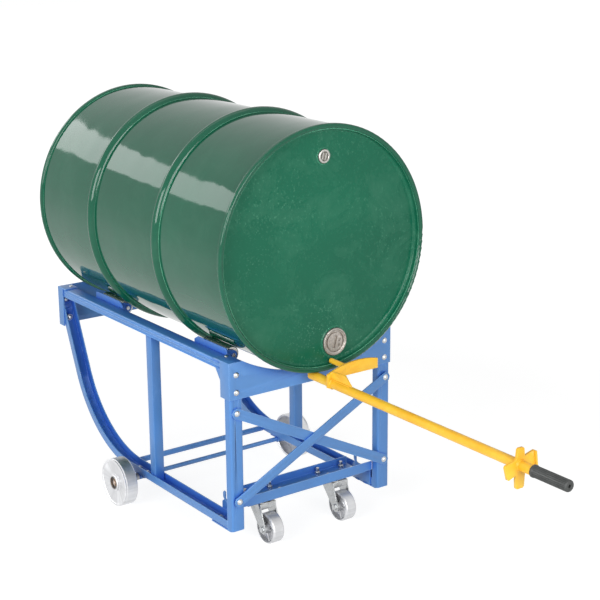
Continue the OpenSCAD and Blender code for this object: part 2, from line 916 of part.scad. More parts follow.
// Half section of a head: a flat disc with a round shoulder and a collar in the chime
module head_section(end) {
    shoulder = 9;
    translate([0, end * head_x])
        mirror([0, end > 0 ? 0 : 1]) {
            square([collar_r - shoulder, drum_t]);
            translate([collar_r - shoulder, shoulder])
                intersection() {
                    difference() {
                        circle(shoulder);
                        circle(shoulder - drum_t);
                    }
                    translate([0, -20])
                        square(20);
                }
            translate([collar_r - drum_t, shoulder])
                square([drum_t, 7]);
        }
}

module bung_place(at) {
    translate([head_x, at[0], axis_z + at[1]])
        rotate([0, 90, 0])
            children();
}

module drum_front_head() {
    color("green")
        difference() {
            union() {
                round_drum()
                    head_section(1);
                bung_place(large_bung)
                    rotate_extrude()
                        polygon([[27, -12], [34, -12], [34, 0.2], [38, 0.2], [38, 1.5], [35.5, 3.1],
                            [27, 3.1]]);
                bung_place(small_bung)
                    rotate_extrude()
                        polygon([[11, -10], [16, -10], [16, 0.2], [19, 0.2], [19, 1.5], [17.5, 3.1],
                            [11, 3.1]]);
            }
            bung_place(large_bung)
                translate([0, 0, -14])
                    cylinder(r = 29, h = 30);
            bung_place(small_bung)
                translate([0, 0, -12])
                    cylinder(r = 13, h = 30);
        }
}

module drum_rear_head() {
    color("green")
        round_drum()
            head_section(-1);
}

// Large bung: a flanged plug with a sunk ring round a split driving boss
module large_bung_plug() {
    color("rosybrown")
        bung_place(large_bung)
            difference() {
                rotate_extrude()
                    polygon([[0, -12], [28.8, -12], [28.8, 3.2], [32.5, 3.2], [33.5, 4.4],
                        [33.2, 6.8], [32, 7.6], [30, 7.6], [28.6, 6], [26, 5.2], [26, 1.6],
                        [22, 1.6], [22, 5.8], [0, 5.8]]);
                rotate([0, 0, -14]) {
                    translate([-15, -4, 1.6])
                        cube([30, 8, 10]);
                    for (at = [-9, 3])
                        translate([at, 8, 3.2])
                            cube([6, 7, 10]);
                }
            }
}

// Small bung: a flanged plug with two driving bars in its recess
module small_bung_plug() {
    color("silver")
        bung_place(small_bung) {
            rotate_extrude()
                polygon([[0, -10], [12.8, -10], [12.8, 3.2], [15.5, 3.2], [16.2, 4.2],
                    [15.7, 6.2], [14, 7], [11.6, 7], [10.8, 6], [10.8, -2], [0, -2]]);
            rotate([0, 0, -14])
                for (at = [-1, 1])
                    translate([-7.5, at * 4.2 - 1.5, -2.5])
                        cube([15, 3, 7.5]);
        }
}

// Tube of the lever, from under the chime to the end inside the grip
module lever_tube() {
    length = lever_len - 8;
    color("gold")
        translate([lever_x, lever_y, lever_z])
            rotate([0, 90, 0])
                difference() {
                    cylinder(d = lever_d, h = length);
                    translate([0, 0, -1])
                        cylinder(d = lever_d - 4, h = length + 2);
                }
}

// Saddle plate across the tube, with a wing to one side and a rib along the tube
module lever_saddle() {
    left_y = lever_y - 15;
    wing_y = lever_y + 132;
    wing_low = lever_z + 13;
    arc_r = 232;
    color("gold") {
        difference() {
            cross_sheet(saddle_x, saddle_x + saddle_t)
                difference() {
                    intersection() {
                        translate([lever_y + 77.7, lever_z + 43.4 - arc_r])
                            circle(arc_r, $fn = 240);
                        union() {
                            translate([left_y, wing_low])
                                square([wing_y - left_y, 60]);
                            translate([left_y, lever_z - 8])
                                square([31, 60]);
                        }
                    }
                    translate([lever_y, lever_z])
                        circle(d = lever_d + 0.04);
                }
            translate([saddle_x + saddle_t / 2, hook_y, hook_z])
                rotate([0, 90, 0])
                    cylinder(r = hook_r + 0.02, h = 20, center = true);
        }
        upright_sheet(lever_y - 2.5, lever_y + 2.5)
            polygon([[saddle_x + saddle_t - 1, lever_z + lever_d / 2],
                [saddle_x + saddle_t + 70, lever_z + lever_d / 2],
                [saddle_x + saddle_t + 46, lever_z + 32],
                [saddle_x + saddle_t - 1, lever_z + 30]]);
    }
}

// Hook of the lever: a round finger that reaches over the chime into the head's recess
module lever_hook() {
    length = saddle_x + saddle_t - hook_x;
    color("gold")
        translate([hook_x, hook_y, hook_z])
            rotate([0, 90, 0])
                rotate_extrude()
                    polygon([[0, 0], [hook_r - 2, 0], [hook_r - 0.6, 0.6], [hook_r, 2],
                        [hook_r, length], [0, length]]);
}

// Four-armed star plate on the tube, for turning bungs, with one lipped arm
module lever_star() {
    arm = 40;
    color("gold")
        translate([star_x, lever_y, lever_z]) {
            difference() {
                union() {
                    cross_sheet(0, 6) {
                        star_arm(90, arm - 3, 13, 9);
                        star_arm(-90, arm + 10, 14, 11);
                        star_arm(8, arm + 1, 14, 18);
                        star_arm(195, arm, 14, 17);
                        circle(19);
                    }
                    rotate([0, 90, 0])
                        cylinder(r1 = 15, r2 = 12.5, h = 10);
                    rotate([8, 0, 0])
                        translate([0, arm - 3, -15])
                            cube([12, 4, 33]);
                }
                rotate([0, 90, 0])
                    translate([0, 0, -2])
                        cylinder(d = lever_d + 0.04, h = 40);
            }
        }
}

module star_arm(turn, reach, base, tip) {
    rotate(turn)
        polygon([[0, -base], [reach - 3, -tip], [reach, 3 - tip], [reach, tip - 3],
            [reach - 3, tip], [0, base]]);
}

// Rubber grip with a closed, holed end and a collar
module lever_grip() {
    start = lever_len - grip_len;
    inner_r = lever_d / 2 + 0.02;
    outer_r = lever_d / 2 + 1.5;
    color("dimgray")
        translate([lever_x, lever_y, lever_z])
            rotate([0, 90, 0])
                rotate_extrude()
                    polygon([[inner_r, start], [outer_r + 0.6, start], [outer_r + 1, start + 1],
                        [outer_r + 1, start + 4], [outer_r, start + 6],
                        [outer_r, lever_len - 2.5], [outer_r - 2, lever_len - 0.5],
                        [outer_r - 4, lever_len - 0.5], [outer_r - 4.6, lever_len - 1.5],
                        [outer_r - 5.6, lever_len - 1.5], [outer_r - 6.2, lever_len],
                        [3, lever_len], [3, lever_len - 7], [inner_r, lever_len - 7]]);
}

rocker(1);  // rocker_left
rocker(-1);  // rocker_right
top_rail(1);  // top_rail_left
top_rail(-1);  // top_rail_right
front_post(1);  // front_post_left
front_post(-1);  // front_post_right
strut(1);  // strut_left
strut(-1);  // strut_right
gussets();
front_cradle();
rear_cradle();
brace_bar_back();
brace_bar_front();
caster_pan();
pan_ends();
foot_plates();
rear_tie();
rear_axle();
axle_clamps();
axle_spacers();
axle_retainers();
roller_bracket(1, 1);  // roller_bracket_front_left
roller_bracket(1, -1);  // roller_bracket_front_right
roller_bracket(-1, 1);  // roller_bracket_rear_left
roller_bracket(-1, -1);  // roller_bracket_rear_right
roller_pins();
cradle_bolts();
rear_wedges();
brace_bolts();
base_bolts();
caster_plate(1);  // caster_plate_left
caster_plate(-1);  // caster_plate_right
king_pins();
caster_fork(1);  // caster_fork_left
caster_fork(-1);  // caster_fork_right
caster_axle(1);  // caster_axle_left
caster_axle(-1);  // caster_axle_right
caster_wheel(1);  // caster_wheel_left
caster_wheel(-1);  // caster_wheel_right
rear_wheel(1);  // rear_wheel_left
rear_wheel(-1);  // rear_wheel_right
wheel_bush(1);  // wheel_bush_left
wheel_bush(-1);  // wheel_bush_right
roller(1, 1);  // roller_front_left
roller(1, -1);  // roller_front_right
roller(-1, 1);  // roller_rear_left
roller(-1, -1);  // roller_rear_right
drum_shell();
drum_front_head();
drum_rear_head();
large_bung_plug();
small_bung_plug();
lever_tube();
lever_saddle();
lever_hook();
lever_star();
lever_grip();
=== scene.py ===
import json
import math

import bpy
from mathutils import Matrix, Vector


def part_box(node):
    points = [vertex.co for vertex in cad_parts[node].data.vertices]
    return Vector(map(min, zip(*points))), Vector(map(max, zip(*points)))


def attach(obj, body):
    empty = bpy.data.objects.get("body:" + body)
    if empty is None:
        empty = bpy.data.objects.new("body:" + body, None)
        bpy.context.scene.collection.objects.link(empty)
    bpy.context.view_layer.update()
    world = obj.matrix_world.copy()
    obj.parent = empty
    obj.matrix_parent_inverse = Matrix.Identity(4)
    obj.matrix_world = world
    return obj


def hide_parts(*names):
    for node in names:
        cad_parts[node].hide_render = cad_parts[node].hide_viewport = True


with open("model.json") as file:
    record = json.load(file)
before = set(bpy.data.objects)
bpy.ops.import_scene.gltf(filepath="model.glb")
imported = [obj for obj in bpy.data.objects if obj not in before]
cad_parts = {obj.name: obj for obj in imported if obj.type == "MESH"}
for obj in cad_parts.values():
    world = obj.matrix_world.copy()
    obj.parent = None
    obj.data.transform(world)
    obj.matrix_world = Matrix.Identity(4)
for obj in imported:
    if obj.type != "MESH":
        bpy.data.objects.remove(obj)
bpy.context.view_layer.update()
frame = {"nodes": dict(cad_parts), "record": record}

bl_info = {
    "name": "Drum cart finishes",
    "version": (1, 0, 0),
    "blender": (4, 5, 0),
    "location": "3D View > Sidebar > Drum cart",
    "description": "Paint, plating, welds, seams and grip of a rotating drum cart",
    "category": "Object",
}

BODIES = frame["record"]["behaviour"]["bodies"]
BODY_OF = {node: body for body, nodes in BODIES.items() for node in nodes}
SIDES = {"left": 1, "right": -1}
ENDS = ("front", "rear")


def middle(node):
    low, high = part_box(node)
    return (Vector(low) + Vector(high)) / 2


DRUM_AXIS = middle("drum_shell")
ORIGIN = (0, 0, 0)


# ---------------------------------------------------------------- materials


COLOUR_SOCKETS = (0, 6, 7)      # the mix node's factor, first and second colour
COLOUR_RESULT = 2
PROBE_SAMPLES = 6               # rays of the bevel and occlusion nodes
FLAT, WORN = 0.985, 0.86        # cosine of an edge's turn: still flat, fully rubbed and highlighted
OPEN, DEEP = 0.92, 0.30         # share of open sky: out in the open, deep in a hollow
RING_WIDTH = 0.314              # metres from ring to ring of the wave node at scale 1


def mix_rgb(tree, factor, first, second):
    mix = tree.nodes.new("ShaderNodeMix")
    mix.data_type = "RGBA"
    for index, value in zip(COLOUR_SOCKETS, (factor, first, second)):
        socket = mix.inputs[index]
        if isinstance(value, bpy.types.NodeSocket):
            tree.links.new(value, socket)
        elif isinstance(value, (int, float)):
            socket.default_value = value
        else:
            socket.default_value = (*value, 1)
    return mix.outputs[COLOUR_RESULT]


def noise(tree, place, scale, detail=3.0, rough=0.5, twist=0.0):
    node = tree.nodes.new("ShaderNodeTexNoise")
    node.inputs["Scale"].default_value = scale
    node.inputs["Detail"].default_value = detail
    node.inputs["Roughness"].default_value = rough
    node.inputs["Distortion"].default_value = twist
    tree.links.new(place, node.inputs["Vector"])
    return node.outputs["Fac"]


def between(tree, value, low, high, to_low=0.0, to_high=1.0):
    node = tree.nodes.new("ShaderNodeMapRange")
    node.inputs["From Min"].default_value = low
    node.inputs["From Max"].default_value = high
    node.inputs["To Min"].default_value = to_low
    node.inputs["To Max"].default_value = to_high
    tree.links.new(value, node.inputs["Value"])
    return node.outputs["Result"]


def maths(tree, kind, first, second):
    node = tree.nodes.new("ShaderNodeMath")
    node.operation = kind
    for socket, value in zip(node.inputs, (first, second)):
        if isinstance(value, bpy.types.NodeSocket):
            tree.links.new(value, socket)
        else:
            socket.default_value = value
    return node.outputs[0]


def over(tree, mask, share, under, upper):
    """One colour laid over another: by this share where the mask is 1, not at all where it is 0."""
    return mix_rgb(tree, maths(tree, "MULTIPLY", mask, share), under, upper)


def vary_roughness(tree, shader, mask, low, high, *more):
    """Roughness that runs from low to high with a mask, plus a share of each further mask."""
    value = between(tree, mask, 0, 1, low, high)
    for other, share in more:
        value = maths(tree, "ADD", value, maths(tree, "MULTIPLY", other, share))
    tree.links.new(value, shader.inputs["Roughness"])


def bump(tree, height, distance, strength, under=None):
    node = tree.nodes.new("ShaderNodeBump")
    node.inputs["Distance"].default_value = distance
    node.inputs["Strength"].default_value = strength
    tree.links.new(height, node.inputs["Height"])
    if under is not None:
        tree.links.new(under, node.inputs["Normal"])
    return node.outputs["Normal"]


def stretched(tree, place, centre, scale):
    """Coordinates from centre, scaled along each axis, to draw out or squeeze a pattern."""
    node = tree.nodes.new("ShaderNodeMapping")
    node.inputs["Scale"].default_value = scale
    node.inputs["Location"].default_value = [-c * s for c, s in zip(centre, scale)]
    tree.links.new(place, node.inputs["Vector"])
    return node.outputs["Vector"]


def edge_wear_and_highlight(tree, radius):
    """1 along sharp edges, where a coat thins and rubs and where a painted highlight is laid, 0 on
    the flats.
    """
    round_off = tree.nodes.new("ShaderNodeBevel")
    round_off.samples = PROBE_SAMPLES
    round_off.inputs["Radius"].default_value = radius
    flat = tree.nodes.new("ShaderNodeNewGeometry")
    turn = tree.nodes.new("ShaderNodeVectorMath")
    turn.operation = "DOT_PRODUCT"
    tree.links.new(round_off.outputs["Normal"], turn.inputs[0])
    tree.links.new(flat.outputs["Normal"], turn.inputs[1])
    return between(tree, turn.outputs["Value"], FLAT, WORN)


def hollows(tree, reach):
    """1 deep in corners and channels, a mask for painted shade there, 0 in the open."""
    node = tree.nodes.new("ShaderNodeAmbientOcclusion")
    node.samples = PROBE_SAMPLES
    node.inputs["Distance"].default_value = reach
    return between(tree, node.outputs["AO"], OPEN, DEEP)


def blank(name, roughness, metallic=0.0):
    material = bpy.data.materials.new(name)
    material.use_nodes = True
    tree = material.node_tree
    shader = tree.nodes["Principled BSDF"]
    shader.inputs["Roughness"].default_value = roughness
    shader.inputs["Metallic"].default_value = metallic
    place = tree.nodes.new("ShaderNodeTexCoord").outputs["Object"]
    return material, tree, shader, place


def tint(colour, factor):
    return tuple(min(1.0, c * factor) for c in colour)


def powder_coat(name, colour, roughness, pale):
    """Satin powder coat: cloudy, painted shade deeper in hollows, rubbed and worn at edges with a
    painted highlight, with fine nicks.
    """
    material, tree, shader, place = blank(name, roughness)
    cloud = between(tree, noise(tree, place, 7.0, 4.0), 0.32, 0.68)
    paint = mix_rgb(tree, cloud, tint(colour, 0.92), tint(colour, 1.07))
    rub = between(tree, noise(tree, place, 34.0, 8.0, 0.68), 0.60, 0.76)
    paint = over(tree, rub, 0.22, paint, pale)
    upright = stretched(tree, place, ORIGIN, (1.0, 1.0, 0.35))
    nick = between(tree, noise(tree, upright, 300.0, 3.0, 0.6), 0.73, 0.78)
    paint = over(tree, nick, 0.5, paint, tint(pale, 0.75))
    # painted shade: the coat turns deep blue in corners and channels, where shade falls
    shade = hollows(tree, 0.055)
    deep = (colour[0] * 0.10, colour[1] * 0.40, colour[2] * 0.95)
    paint = over(tree, shade, 0.92, paint, deep)
    # pale edge line: rubbed coat and a painted highlight where the bends catch the light
    ragged = between(tree, noise(tree, place, 120.0, 4.0), 0.30, 0.62, 0.35, 1.0)
    edge = maths(tree, "MULTIPLY", edge_wear_and_highlight(tree, 0.0021), ragged)
    paint = over(tree, edge, 0.72, paint, tint(pale, 1.45))
    tree.links.new(paint, shader.inputs["Base Color"])
    vary_roughness(tree, shader, cloud, roughness - 0.04, roughness + 0.05, (rub, 0.14),
                   (shade, 0.30))
    shader.inputs["Specular IOR Level"].default_value = 0.75
    peel = bump(tree, noise(tree, place, 420.0, 2.0), 0.00022, 0.35)
    tree.links.new(bump(tree, nick, 0.00012, 0.4, peel), shader.inputs["Normal"])
    return material


# what sets the duller, dustier enamel of the drum's heads apart from that of its wall
WALL = {"roughness": 0.045, "speck_scale": 330.0, "speck_from": 0.68, "scuffs": 0.14,
        "marks": 0.10, "dulling": 0.05, "ior": 1.40, "wave": 0.0050, "peel": 0.10}
HEAD = {"roughness": 0.24, "speck_scale": 170.0, "speck_from": 0.58, "scuffs": 0.42,
        "marks": 0.62, "dulling": 0.22, "ior": 1.30, "wave": 0.0035, "peel": 0.22}


def gloss_enamel(name, colour, pale, coat):
    """Drum enamel: deep gloss over slightly wavy sheet, with dust specks, rubbed scuffs and a
    painted highlight along its edges.
    """
    roughness = coat["roughness"]
    material, tree, shader, place = blank(name, roughness)
    cloud = between(tree, noise(tree, place, 3.2, 5.0, 0.6), 0.30, 0.70)
    paint = mix_rgb(tree, cloud, tint(colour, 0.90), tint(colour, 1.10))
    scuff = between(tree, noise(tree, place, 9.0, 9.0, 0.72, 0.5), 0.48, 0.74)
    speck = between(tree, noise(tree, place, coat["speck_scale"], 3.0, 0.7),
                    coat["speck_from"], 0.70)
    patch = between(tree, noise(tree, place, 5.0, 3.0), 0.42, 0.62, 0.25, 1.0)
    speck = maths(tree, "MULTIPLY", speck, patch)
    drawn = stretched(tree, place, DRUM_AXIS, (1.0, 9.0, 1.3))
    scratch = between(tree, noise(tree, drawn, 16.0, 5.0, 0.72), 0.70, 0.74)
    paint = over(tree, scuff, coat["scuffs"], paint, pale)
    marks = maths(tree, "MAXIMUM", speck, scratch)
    paint = over(tree, marks, coat["marks"], paint, tint(pale, 1.6))
    # painted highlight, with rubbed enamel too: a bright pale green line along chimes, hoops and
    # seam
    rim = maths(tree, "MULTIPLY", edge_wear_and_highlight(tree, 0.0030), patch)
    paint = over(tree, rim, 0.75, paint, tint(pale, 3.2))
    tree.links.new(paint, shader.inputs["Base Color"])
    vary_roughness(tree, shader, cloud, roughness, roughness + 0.03, (scuff, coat["dulling"]))
    shader.inputs["IOR"].default_value = coat["ior"]
    sheet = stretched(tree, place, ORIGIN, (1.0, 0.8, 0.8))
    wave = bump(tree, noise(tree, sheet, 5.5, 1.5), coat["wave"], 0.5)
    if coat is WALL:
        ripple = stretched(tree, place, ORIGIN, (1.0, 0.7, 0.7))
        wave = bump(tree, noise(tree, ripple, 15.0, 1.0), 0.0007, 0.5, wave)
    peel = bump(tree, noise(tree, place, 260.0, 2.0), 0.0002, coat["peel"], wave)
    tree.links.new(peel, shader.inputs["Normal"])
    return material


def axle_coat(name, colour, roughness, pale, bare):
    """The frame's powder coat on the axle, with bare, browned ends where the wheels sit."""
    painted_to, bare_from = 0.2375, 0.2395
    material = powder_coat(name, colour, roughness, pale)
    tree = material.node_tree
    shader = tree.nodes["Principled BSDF"]
    place = next(node for node in tree.nodes if node.type == "TEX_COORD").outputs["Object"]
    split = tree.nodes.new("ShaderNodeSeparateXYZ")
    tree.links.new(place, split.inputs[0])
    out = between(tree, maths(tree, "ABSOLUTE", split.outputs["Y"], 0.0), painted_to, bare_from)
    paint = shader.inputs["Base Color"].links[0].from_socket
    stain = between(tree, noise(tree, place, 240.0, 5.0), 0.35, 0.65)
    browned = mix_rgb(tree, stain, tint(bare, 0.6), bare)
    tree.links.new(mix_rgb(tree, out, paint, browned), shader.inputs["Base Color"])
    tree.links.new(maths(tree, "MULTIPLY", out, 0.9), shader.inputs["Metallic"])
    return material


def lever_paint(name, colour, deep):
    """Brushed-on safety paint: painted shade, darker and warmer, in the hollows, thinned and
    chipped to brown on a few edges, with a painted highlight along the edges.
    """
    chipped, thinned_and_lit_yellow = (0.30, 0.22, 0.12), (1.0, 0.78, 0.30)
    material, tree, shader, place = blank(name, 0.36)
    cloud = between(tree, noise(tree, place, 16.0, 5.0, 0.6), 0.34, 0.66)
    paint = mix_rgb(tree, cloud, deep, colour)
    chip = between(tree, noise(tree, place, 95.0, 7.0, 0.72), 0.715, 0.75)
    paint = over(tree, chip, 0.7, paint, chipped)
    # painted shade: the paint turns deep amber in the lever's hollows
    paint = over(tree, hollows(tree, 0.02), 0.7, paint, tint(deep, 0.62))
    # pale edges: thinned paint and a painted highlight
    paint = over(tree, edge_wear_and_highlight(tree, 0.0012), 0.35, paint, thinned_and_lit_yellow)
    tree.links.new(paint, shader.inputs["Base Color"])
    vary_roughness(tree, shader, cloud, 0.42, 0.30, (chip, 0.25))
    brushed = stretched(tree, place, ORIGIN, (0.12, 1.0, 1.0))
    drag = bump(tree, noise(tree, brushed, 520.0, 3.0), 0.00022, 0.4)
    tree.links.new(drag, shader.inputs["Normal"])
    return material


def plated(name, colour, roughness, spangle, tarnish):
    """Zinc plate: crystal patches of slightly different tone, with a film of pale tarnish."""
    material, tree, shader, place = blank(name, roughness, 1.0)
    cells = tree.nodes.new("ShaderNodeTexVoronoi")
    cells.inputs["Scale"].default_value = spangle
    tree.links.new(place, cells.inputs["Vector"])
    tone = tree.nodes.new("ShaderNodeRGBToBW")
    tree.links.new(cells.outputs["Color"], tone.inputs["Color"])
    patch = between(tree, tone.outputs["Val"], 0.2, 0.8)
    metal = mix_rgb(tree, patch, tint(colour, 0.93), tint(colour, 1.05))
    film = between(tree, noise(tree, place, 45.0, 5.0, 0.6), 0.50, 0.78)
    metal = over(tree, film, 0.35, metal, tarnish)
    tree.links.new(metal, shader.inputs["Base Color"])
    vary_roughness(tree, shader, patch, roughness - 0.05, roughness + 0.07, (film, 0.18))
    skin = bump(tree, noise(tree, place, 380.0, 2.0), 0.00006, 0.20)
    tree.links.new(skin, shader.inputs["Normal"])
    return material


def turned(name, colour, centre, axis, roughness, pitch=0.0016, sheen=0.5, hub_r=0.0001):
    """Lathe-turned metal: fine rings round the axle, painted sheen in dark streaks out from it and
    painted shade round the hub.
    """
    # grease is a real stain; the second colour is the painted shade in the hub's recess
    grease, hub_shade_colour = (0.40, 0.38, 0.35), (0.16, 0.155, 0.15)
    material, tree, shader, place = blank(name, roughness, 1.0)
    from_centre = stretched(tree, place, centre, (1, 1, 1))
    rings = tree.nodes.new("ShaderNodeTexWave")
    rings.wave_type = "RINGS"
    rings.rings_direction = axis
    rings.inputs["Scale"].default_value = RING_WIDTH / pitch
    rings.inputs["Distortion"].default_value = 0.6
    rings.inputs["Detail"].default_value = 2.0
    tree.links.new(from_centre, rings.inputs["Vector"])
    mottle = between(tree, noise(tree, place, 38.0, 4.0, 0.5), 0.30, 0.72)
    metal = mix_rgb(tree, mottle, tint(colour, 0.92), tint(colour, 1.04))
    metal = over(tree, rings.outputs["Fac"], 0.10, metal, tint(colour, 0.70))
    stain = between(tree, noise(tree, place, 17.0, 6.0, 0.65), 0.60, 0.82)
    metal = over(tree, stain, 0.22, metal, grease)
    across = tree.nodes.new("ShaderNodeVectorMath")
    across.operation = "CROSS_PRODUCT"
    across.inputs[1].default_value = {"X": (1, 0, 0), "Y": (0, 1, 0)}[axis]
    tree.links.new(from_centre, across.inputs[0])
    along = tree.nodes.new("ShaderNodeVectorMath")
    along.operation = "NORMALIZE"
    tree.links.new(across.outputs[0], along.inputs[0])
    tree.links.new(along.outputs[0], shader.inputs["Tangent"])
    shader.inputs["Anisotropic"].default_value = sheen
    # painted sheen: dark wedges out from the axle, like the reflection across a turned face
    painted_sheen_streak = between(tree, noise(tree, along.outputs[0], 3.4, 7.0, 0.72), 0.46, 0.66)
    metal = over(tree, painted_sheen_streak, 0.34, metal, tint(colour, 0.52))
    reach = tree.nodes.new("ShaderNodeVectorMath")
    reach.operation = "LENGTH"
    tree.links.new(across.outputs[0], reach.inputs[0])
    # painted shade: the hub's recess darkens to near black, as if in shadow
    hub = between(tree, reach.outputs["Value"], hub_r, hub_r * 0.72)
    metal = over(tree, hub, 0.62, metal, hub_shade_colour)
    tree.links.new(metal, shader.inputs["Base Color"])
    vary_roughness(tree, shader, mottle, roughness - 0.05, roughness + 0.06, (stain, 0.15))
    tree.links.new(bump(tree, rings.outputs["Fac"], 0.00005, 0.20), shader.inputs["Normal"])
    return material


def cast_metal(name, colour, roughness, grain):
    """Bare cast metal with a sandy skin and darker hollows."""
    material, tree, shader, place = blank(name, roughness, 0.85)
    skin = between(tree, noise(tree, place, grain, 6.0, 0.65), 0.32, 0.68)
    metal = mix_rgb(tree, skin, tint(colour, 0.62), tint(colour, 1.15))
    tree.links.new(metal, shader.inputs["Base Color"])
    vary_roughness(tree, shader, skin, roughness + 0.12, roughness - 0.08)
    tree.links.new(bump(tree, skin, 0.0004, 0.5), shader.inputs["Normal"])
    return material


def rubber(name, colour, roughness):
    """Moulded rubber: dull, slightly greyed where hands rub it."""
    material, tree, shader, place = blank(name, roughness)
    rub = between(tree, noise(tree, place, 28.0, 6.0, 0.6), 0.42, 0.72)
    greyed = mix_rgb(tree, rub, colour, tint(colour, 1.75))
    tree.links.new(greyed, shader.inputs["Base Color"])
    vary_roughness(tree, shader, rub, roughness - 0.06, roughness + 0.14)
    skin = bump(tree, noise(tree, place, 900.0, 3.0), 0.00015, 0.5)
    tree.links.new(skin, shader.inputs["Normal"])
    return material


def dress(piece, material):
    piece.data.materials.clear()
    piece.data.materials.append(material)


def dress_nodes(material, *names):
    for name in names:
        slots = frame["nodes"][name].material_slots
        for slot in slots:
            slot.material = material
        if not slots:
            frame["nodes"][name].data.materials.append(material)


# ---------------------------------------------------------------- modelling


MERGE_GAP = 0.00001             # corners nearer than this are one corner
FLAT_ANGLE = 0.6                # degrees: a flat's inner edges are dissolved
ROUND_ANGLE = 40                # degrees: edges up to this are shaded round
BEAD_ANGLE = 60
BEAD_PITCH = 0.0042             # length of one ripple of a weld bead
BEAD_SIDES = 8


def rest_tools():
    """Back to object mode with nothing selected, so that an operator acts only on its own piece."""
    if bpy.context.object is not None and bpy.context.object.mode != "OBJECT":
        bpy.ops.object.mode_set(mode="OBJECT")
    bpy.ops.object.select_all(action="DESELECT")


def take(piece):
    """Selects one piece and makes it the active one."""
    rest_tools()
    piece.select_set(True)
    bpy.context.view_layer.objects.active = piece


def edit(piece, kind):
    take(piece)
    bpy.ops.object.mode_set(mode="EDIT")
    bpy.ops.mesh.select_mode(type=kind)
    bpy.ops.mesh.select_all(action="DESELECT")


def pick(piece, kind, wanted):
    """Selects, in edit mode, the vertices, edges or faces for which wanted is true."""
    bpy.ops.object.mode_set(mode="OBJECT")
    mesh = piece.data
    for items in (mesh.vertices, mesh.edges, mesh.polygons):
        for item in items:
            item.select = False
    for item in {"VERT": mesh.vertices, "EDGE": mesh.edges, "FACE": mesh.polygons}[kind]:
        item.select = bool(wanted(item))
    bpy.ops.object.mode_set(mode="EDIT")
    bpy.ops.mesh.select_mode(type=kind)


def extrude(x, z):
    bpy.ops.mesh.extrude_region_move(TRANSFORM_OT_translate={"value": (x, 0, z)})


def widen(scale, height=1.0):
    bpy.ops.transform.resize(value=(scale, scale, height))


def facing_front(place):
    """The place of a piece that was built standing and lies along the cart."""
    return Matrix.Translation(place) @ Matrix.Rotation(math.pi / 2, 4, "Y")


def seat(piece, name, material, body, slot):
    """Names a finished piece, puts its place in its mesh and hangs it on its body."""
    take(piece)
    bpy.ops.object.transform_apply(location=True, rotation=True, scale=True)
    piece.name = name
    piece.data.name = name
    dress(piece, material)
    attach(piece, body)


def apply_all(piece):
    take(piece)
    for modifier in list(piece.modifiers):
        bpy.ops.object.modifier_apply(modifier=modifier.name)


def smooth(piece, angle):
    take(piece)
    bpy.ops.object.shade_smooth_by_angle(angle=math.radians(angle))


def eased(node, suffix, material, slot, radius=0.0, angle=50):
    """A copy of a CAD piece, its edges sharper than angle eased to radius, that stands for it."""
    rest_tools()
    piece = bpy.data.objects.new(node + suffix, frame["nodes"][node].data.copy())
    bpy.context.scene.collection.objects.link(piece)
    edit(piece, "VERT")
    bpy.ops.mesh.select_all(action="SELECT")
    bpy.ops.mesh.remove_doubles(threshold=MERGE_GAP)
    bpy.ops.mesh.dissolve_limited(angle_limit=math.radians(FLAT_ANGLE))
    bpy.ops.object.mode_set(mode="OBJECT")
    if radius > 0:
        ease = piece.modifiers.new("ease", "BEVEL")
        ease.width = radius
        ease.segments = 2
        ease.limit_method = "ANGLE"
        ease.angle_limit = math.radians(angle)
        ease.use_clamp_overlap = True
        ease.harden_normals = False
        apply_all(piece)
    smooth(piece, ROUND_ANGLE)
    seat(piece, node + suffix, material, BODY_OF[node], slot)
    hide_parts(node)


def weld_run(name, start, end, radius, *seating):
    """A straight weld bead: a bar ringed along its length, swollen at every other ring."""
    swell, end_taper = radius * 0.28, 0.55
    start, end = Vector(start), Vector(end)
    run = end - start
    rest_tools()
    bpy.ops.mesh.primitive_cylinder_add(vertices=BEAD_SIDES, radius=radius, depth=run.length)
    bead = bpy.context.object

    def rise(edge):
        low, high = (bead.data.vertices[corner].co.z for corner in edge.vertices)
        return abs(low - high)

    edit(bead, "EDGE")
    pick(bead, "EDGE", lambda e: rise(e) > run.length / 2)
    cuts = max(3, int(run.length / BEAD_PITCH))
    bpy.ops.mesh.subdivide(number_cuts=cuts)
    step = run.length / (cuts + 1)
    pick(bead, "VERT", lambda v: round((v.co.z + run.length / 2) / step) % 2 == 1)
    bpy.ops.transform.shrink_fatten(value=swell)
    pick(bead, "VERT", lambda v: abs(v.co.z) > run.length / 2 - step / 2)
    widen(end_taper)
    rest_tools()
    turn = run.to_track_quat("Z", "Y").to_matrix().to_4x4()
    bead.matrix_world = Matrix.Translation((start + end) / 2) @ turn
    smooth(bead, BEAD_ANGLE)
    seat(bead, name, *seating)


def weld_ring(name, centre, ring_r, radius, *seating, steps=40):
    """A weld bead round a bar that lies along the cart: a ring swollen at every other step."""
    swell = radius * 0.30
    rest_tools()
    bpy.ops.mesh.primitive_torus_add(major_segments=steps, minor_segments=BEAD_SIDES,
                                     major_radius=ring_r, minor_radius=radius)
    bead = bpy.context.object
    edit(bead, "VERT")
    step = 2 * math.pi / steps
    pick(bead, "VERT", lambda v: round(math.atan2(v.co.y, v.co.x) / step) % 2 == 1)
    bpy.ops.transform.shrink_fatten(value=swell)
    rest_tools()
    bead.matrix_world = facing_front(centre)
    smooth(bead, BEAD_ANGLE)
    seat(bead, name, *seating)


# ---------------------------------------------------------------- settings


def paint_colour(name, about, default):
    return bpy.props.FloatVectorProperty(name=name, description=about, default=default,
                                         subtype="COLOR", size=3, min=0.0, max=1.0)


def amount(name, about, default, unit="NONE"):
    return bpy.props.FloatProperty(name=name, description=about, default=default, unit=unit)


